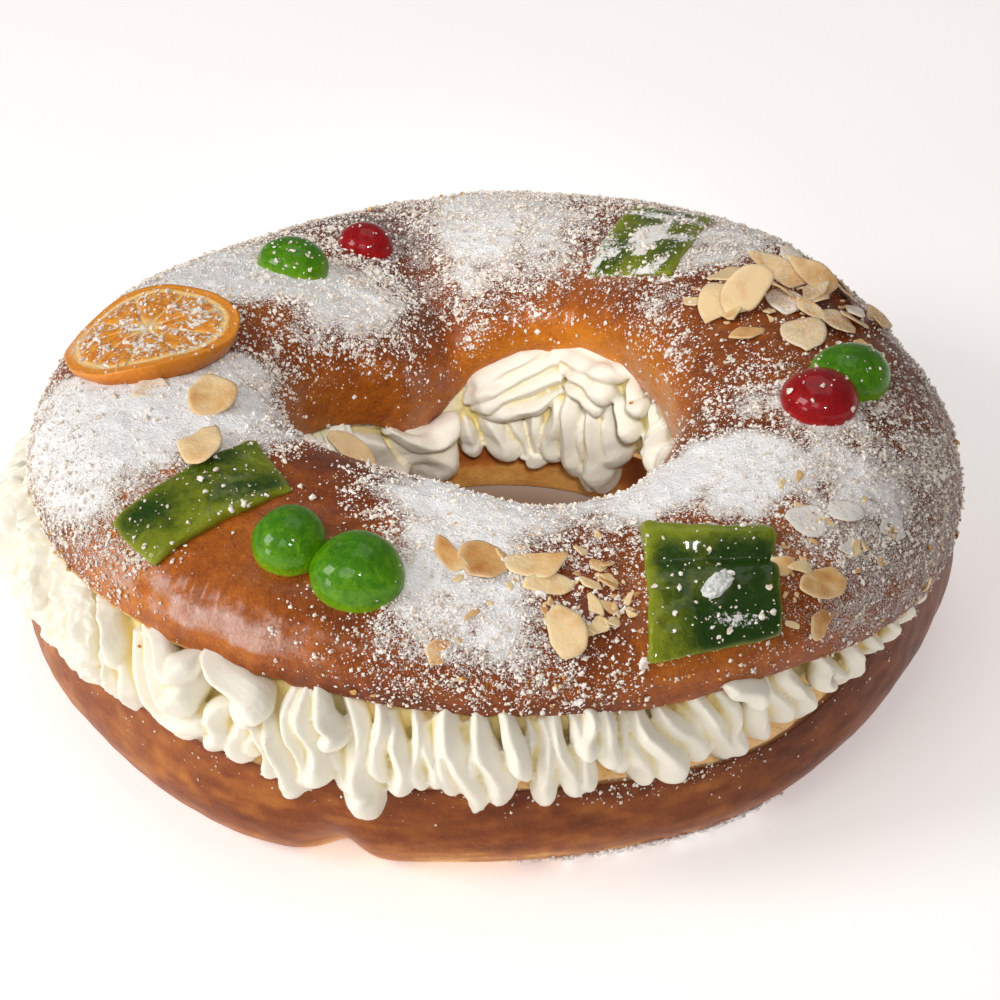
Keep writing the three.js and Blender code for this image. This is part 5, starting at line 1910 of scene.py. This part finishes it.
@dataclass(frozen=True)
class Stage:
    """The pale floor, the studio lights and the camera."""

    eye_distance: float = 900.0
    eye_rise: float = 33.0
    target_height: float = 35.0
    focal_pixels: float = 2965.0
    middle_x: float = 494.0
    middle_y: float = 505.0
    frame_pixels: float = 1000.0
    sensor: float = 36.0
    floor_half: float = 2600.0
    floor_lines: int = 9
    floor_drop: float = 0.05

    def floor(self) -> None:
        """Lays the floor."""
        sheet = Sheet("pale_floor")
        reach = sheet.add("ShaderNodeVectorMath", {"operation": "LENGTH"}, {0: sheet.place}).out("Value")
        # painted shade: inside the hole the floor is a dark warm brown and its glow is off, standing in for
        # the shade there
        glow = sheet.blend((0.0, 0.0, 0.0), (1.0, 0.96, 0.945), reach.step(0.1, 0.135))
        material = sheet.finish(
            Base_Color=sheet.blend((0.32, 0.21, 0.135), (0.93, 0.915, 0.905), reach.step(0.045, 0.1)),
            Roughness=0.8,
            Specular_IOR_Level=0.1,
            Emission_Color=glow,
            Emission_Strength=0.46,
        )
        line = np.linspace(-self.floor_half, self.floor_half, self.floor_lines)
        x, y = np.meshgrid(line, line, indexing="ij")
        corners = np.stack([x, y, 0.0 * x - self.floor_drop], -1).reshape(-1, 3)
        skin = Skin(corners, [grid_faces(self.floor_lines, self.floor_lines, False, False)])
        skin.make("floor", material)

    @staticmethod
    def hang(lamp: bpy.types.Light, place: Triple, target: Triple) -> None:
        """Hangs a lamp at a place and points it at a target, both in metres."""
        holder = bpy.data.objects.new(lamp.name, lamp)
        holder.location = place
        holder.rotation_euler = (Vector(target) - Vector(place)).to_track_quat("-Z", "Y").to_euler()
        bpy.context.scene.collection.objects.link(holder)

    def light(self, name: str, place: Triple, size: float, power: float, color: Color) -> None:
        """Hangs one soft light that faces the cake.

        Args:
            name: its name.
            place: where it hangs, in metres.
            size: the side of its square, in metres.
            power: its power in watts.
            color: its colour.
        """
        lamp = bpy.data.lights.new(name, "AREA")
        lamp.size = size
        lamp.energy = power
        lamp.color = color
        self.hang(lamp, place, (0.0, 0.0, 0.04))

    def beam(self, name: str, place: Triple, target: Triple, width: float, power: float) -> None:
        """Hangs one soft-edged beam.

        Args:
            name: its name.
            place: where it hangs, in metres.
            target: what it is pointed at, in metres.
            width: its opening in degrees.
            power: its power in watts.
        """
        lamp = bpy.data.lights.new(name, "SPOT")
        lamp.energy = power
        lamp.spot_size = math.radians(width)
        lamp.spot_blend = 1.0
        lamp.shadow_soft_size = 0.08
        self.hang(lamp, place, target)

    def lights(self) -> None:
        """Hangs the lights and sets the room's own light."""
        self.light("key", (-1.08, -0.36, 0.75), 0.5, 8.0, (1.0, 0.985, 0.965))
        self.light("low", (-1.05, -0.72, 0.2), 0.3, 2.4, (1.0, 0.985, 0.97))
        self.light("front", (-0.5, -0.98, 0.96), 0.5, 2.7, (1.0, 0.985, 0.97))
        self.light("top", (0.1, 0.4, 1.3), 0.9, 2.6, (1.0, 0.99, 0.98))
        self.beam("inside", (0.06, -0.92, 0.8), (0.0, 0.032, 0.058), 9.8, 56.0)
        world = bpy.data.worlds.new("room")
        world.use_nodes = True
        air = world.node_tree.nodes["Background"]
        air.inputs["Color"].default_value = (0.98, 0.93, 0.90, 1.0)
        air.inputs["Strength"].default_value = 0.2
        scene = bpy.context.scene
        scene.world = world
        scene.view_settings.view_transform = "Standard"

    def camera(self) -> None:
        """Sets up the camera at the photograph's angle."""
        rise = math.radians(self.eye_rise)
        lens = bpy.data.cameras.new("camera")
        lens.sensor_width = self.sensor
        lens.lens = self.focal_pixels / self.frame_pixels * self.sensor
        lens.shift_x = 0.5 - self.middle_x / self.frame_pixels
        lens.shift_y = self.middle_y / self.frame_pixels - 0.5
        lens.clip_end = 20.0
        holder = bpy.data.objects.new("camera", lens)
        target = RING_MIDDLE + np.array([0.0, 0.0, self.target_height])
        away = self.eye_distance * np.array([0.0, -math.cos(rise), math.sin(rise)])
        holder.location = tuple((target + away) * MM)
        holder.rotation_euler = (math.pi / 2.0 - rise, 0.0, 0.0)
        bpy.context.scene.collection.objects.link(holder)
        bpy.context.scene.camera = holder

    def build(self) -> None:
        """Sets the whole stage."""
        self.floor()
        self.lights()
        self.camera()


@dataclass(frozen=True)
class SugarLump:
    """The one large lump of sugar, stuck on the second peel."""

    angle: float = -62.4
    across: float = 0.29
    turn: float = 26.0
    half_sizes: Triple = (4.8, 2.7, 1.3)
    raised: float = 3.6

    def build(self, finish: bpy.types.Material) -> None:
        """Makes the lump."""
        ball = ball_skin(24, 36)
        boxy = np.sign(ball.corners) * np.abs(ball.corners) ** 0.7
        rough = 1.0 + 0.2 * Noise(0.5, 8).at(ball.corners) + 0.16 * Noise(0.2, 9).at(ball.corners)
        x, y, z = (boxy * rough[:, None] * np.array(self.half_sizes)).T
        cos, sin = math.cos(math.radians(self.turn)), math.sin(math.radians(self.turn))
        local = np.stack([x * cos - y * sin, x * sin + y * cos, z + self.raised], axis=-1)
        corners = CROWN.spot(self.angle, self.across).place(local)
        dress(Skin(corners, ball.faces).make("sugar_lump", finish), Slot.PEEL)


def strew(crown: Skin, base: Skin, cream: Skin, toppings: Sequence[Skin]) -> None:
    """Strews powder, grains, lumps, coarse crystals and crumbs.

    Args:
        crown: the crown's skin.
        base: the base's skin.
        cream: the cream's skin.
        toppings: skins of the fruit.
    """
    powder = GrainFinish("sugar_powder", (0.95, 0.935, 0.92), (0.85, 0.80, 0.76), glow=0.045).build()
    coarse = GrainFinish("sugar_grain", (0.92, 0.87, 0.80), (0.66, 0.54, 0.43), glow=0.03).build()
    crumb = GrainFinish("bread_crumb", (0.82, 0.50, 0.17), (0.42, 0.15, 0.03)).build()
    sugar, veil = crown.marks["sugar"], crown.marks["veil"]
    patchy = 1.2 * Noise(6.0, 91).at(crown.corners) + 0.9 * Noise(2.6, 92).at(crown.corners)
    patchy = 0.25 + np.clip(patchy, 0.0, 2.0)
    middling = sugar**0.9 * np.exp(-((np.maximum(sugar - 0.35, 0.0) / 0.25) ** 2)) * patchy
    Strewn("sugar_powder", 24500, 0.3, 0.95, 101).build([(crown, middling + 0.1 * sugar)], powder)
    dusty = middling + 0.6 * veil * patchy + 0.004
    Strewn("sugar_dust", 24500, 0.2, 0.5, 105).build([(crown, dusty)], powder)
    grit = Strewn("sugar_grit", 24500, 0.35, 1.5, 108, sink=0.0, skew=1.8)
    grit.build([(crown, middling + 0.12 * veil)], coarse)
    beds = [(crown, middling + 0.06 * np.clip(sugar, 0.0, 0.7) + 0.002)]
    beds += [(skin, np.clip(skin.marks["sugar"], 0.0, 0.7) * 0.6) for skin in toppings]
    Strewn("sugar_grains", 5800, 0.4, 1.6, 102, skew=3.0, is_round=True).build(beds, coarse)
    beds = [(crown, middling + 0.05 * sugar + 0.002)]
    beds += [(skin, 0.5 * np.clip(skin.marks["sugar"] - 0.15, 0.0, 0.4)) for skin in toppings]
    SugarLump().build(GrainFinish("sugar_lump", (0.80, 0.81, 0.77), (0.50, 0.53, 0.48), size=0.9).build())
    Strewn("sugar_lumps", 600, 1.0, 2.6, 103, skew=3.5, sink=0.25, is_round=True).build(beds, coarse)
    angle = np.degrees(np.arctan2(base.corners[:, 1], base.corners[:, 0]))
    radius = np.linalg.norm(base.corners[:, :2], axis=1)
    front = hump(angle, -68, 14, 4) * (radius > 100.0)
    foot = front * (base.corners[:, 2] < 6.5) * (base.corners[:, 2] > 1.0)
    Strewn("rim_sugar", 800, 0.3, 1.1, 104, Slot.BASE).build([(base, base.marks["sugar"])], coarse)
    Strewn("foot_sugar", 420, 0.6, 2.2, 106, Slot.BASE, skew=1.6, is_round=True).build([(base, foot)], powder)
    height, reach = crown.corners[:, 2], np.degrees(np.arctan2(crown.corners[:, 1], crown.corners[:, 0]))
    lip = (height < 72.0) * (np.linalg.norm(crown.corners[:, :2], axis=1) > 120.0)
    ragged = lip * (hump(reach, -163, 16, 4) + 0.12)
    top = cream.corners[:, 2] > 52.0
    loose = [(crown, ragged), (cream, 0.006 * top)]
    Strewn("crust_crumbs", 500, 0.5, 2.0, 107, skew=2.4, is_round=True).build(loose, crumb)


def main() -> None:
    """Builds the cake piece by piece."""
    logging.basicConfig(level=logging.INFO, format="%(message)s")
    crown = CrownBread().build(CrustFinish().build())
    base = BaseBread().build(BaseFinish().build())
    cream = CreamFilling().build(CreamFinish().build())
    toppings = [OrangeSlice().build(OrangeFinish().build())]
    peel = GlazedFruitFinish(
        "green_peel", (0.016, 0.05, 0.003), (0.21, 0.25, 0.012), (0.30, 0.32, 0.02), relief=0.9,
    ).build()
    pieces = (
        CandiedPeel(
            "candied_peel_1", -132.9, 0.385, 45, 22.3, -15, -0.1, -1, -0.04, sugar_all=0.22, light_end=0.8,
            light_all=0.2,
        ),
        CandiedPeel(
            "candied_peel_2", -62.1, 0.32, 39.5, 35.0, -16, 0.04, 3, -0.17, fold=3.0, bumpy=0.9,
            sugar_heap=(0.35, -0.5, 0.3), sugar_all=0.14,
        ),
        CandiedPeel(
            "candied_peel_3", 58.5, 0.52, 44.8, 30, 5.7, -0.08, -2.2, -0.06, sugar_heap=(0.0, 0.1, 0.25),
            sugar_all=0.42, light_end=0.5, light_all=0.3,
        ),
    )
    toppings.extend(piece.build(peel) for piece in pieces)
    green = GlazedFruitFinish(
        "green_cherry", (0.03, 0.15, 0.001), (0.20, 0.45, 0.004), (0.44, 0.62, 0.018), relief=0.9,
    ).build()
    red = GlazedFruitFinish(
        "red_cherry", (0.22, 0.002, 0.004), (0.54, 0.006, 0.012), (0.56, 0.02, 0.012), relief=0.9,
    ).build()
    cherries = (
        GlazedCherry("green_cherry_1", -116.9, 0.353, 10.3, 0.37),
        GlazedCherry("green_cherry_2", -107.2, 0.327, 12.2, 0.45, dent=0.12),
        GlazedCherry("green_cherry_3", 134.8, 0.483, 11.3, 0.42, 0.76, dusted=0.45),
        GlazedCherry("green_cherry_4", -11.2, 0.44, 11.8, 0.4, 0.74, dusted=0.25),
        GlazedCherry("red_cherry_1", 114.9, 0.473, 8.8, 0.45, dusted=0.3),
        GlazedCherry("red_cherry_2", -20.4, 0.486, 11.2, 0.36, 0.72, dent=0.06, dusted=0.2),
    )
    for cherry in cherries:
        is_red = cherry.node.startswith("red")
        toppings.append(cherry.build(red if is_red else green, Slot.RED if is_red else Slot.GREEN))
    AlmondFlakes().build(AlmondFinish().build())
    strew(crown, base, cream, toppings)
    Stage().build()


if __name__ == "__main__":
    main()
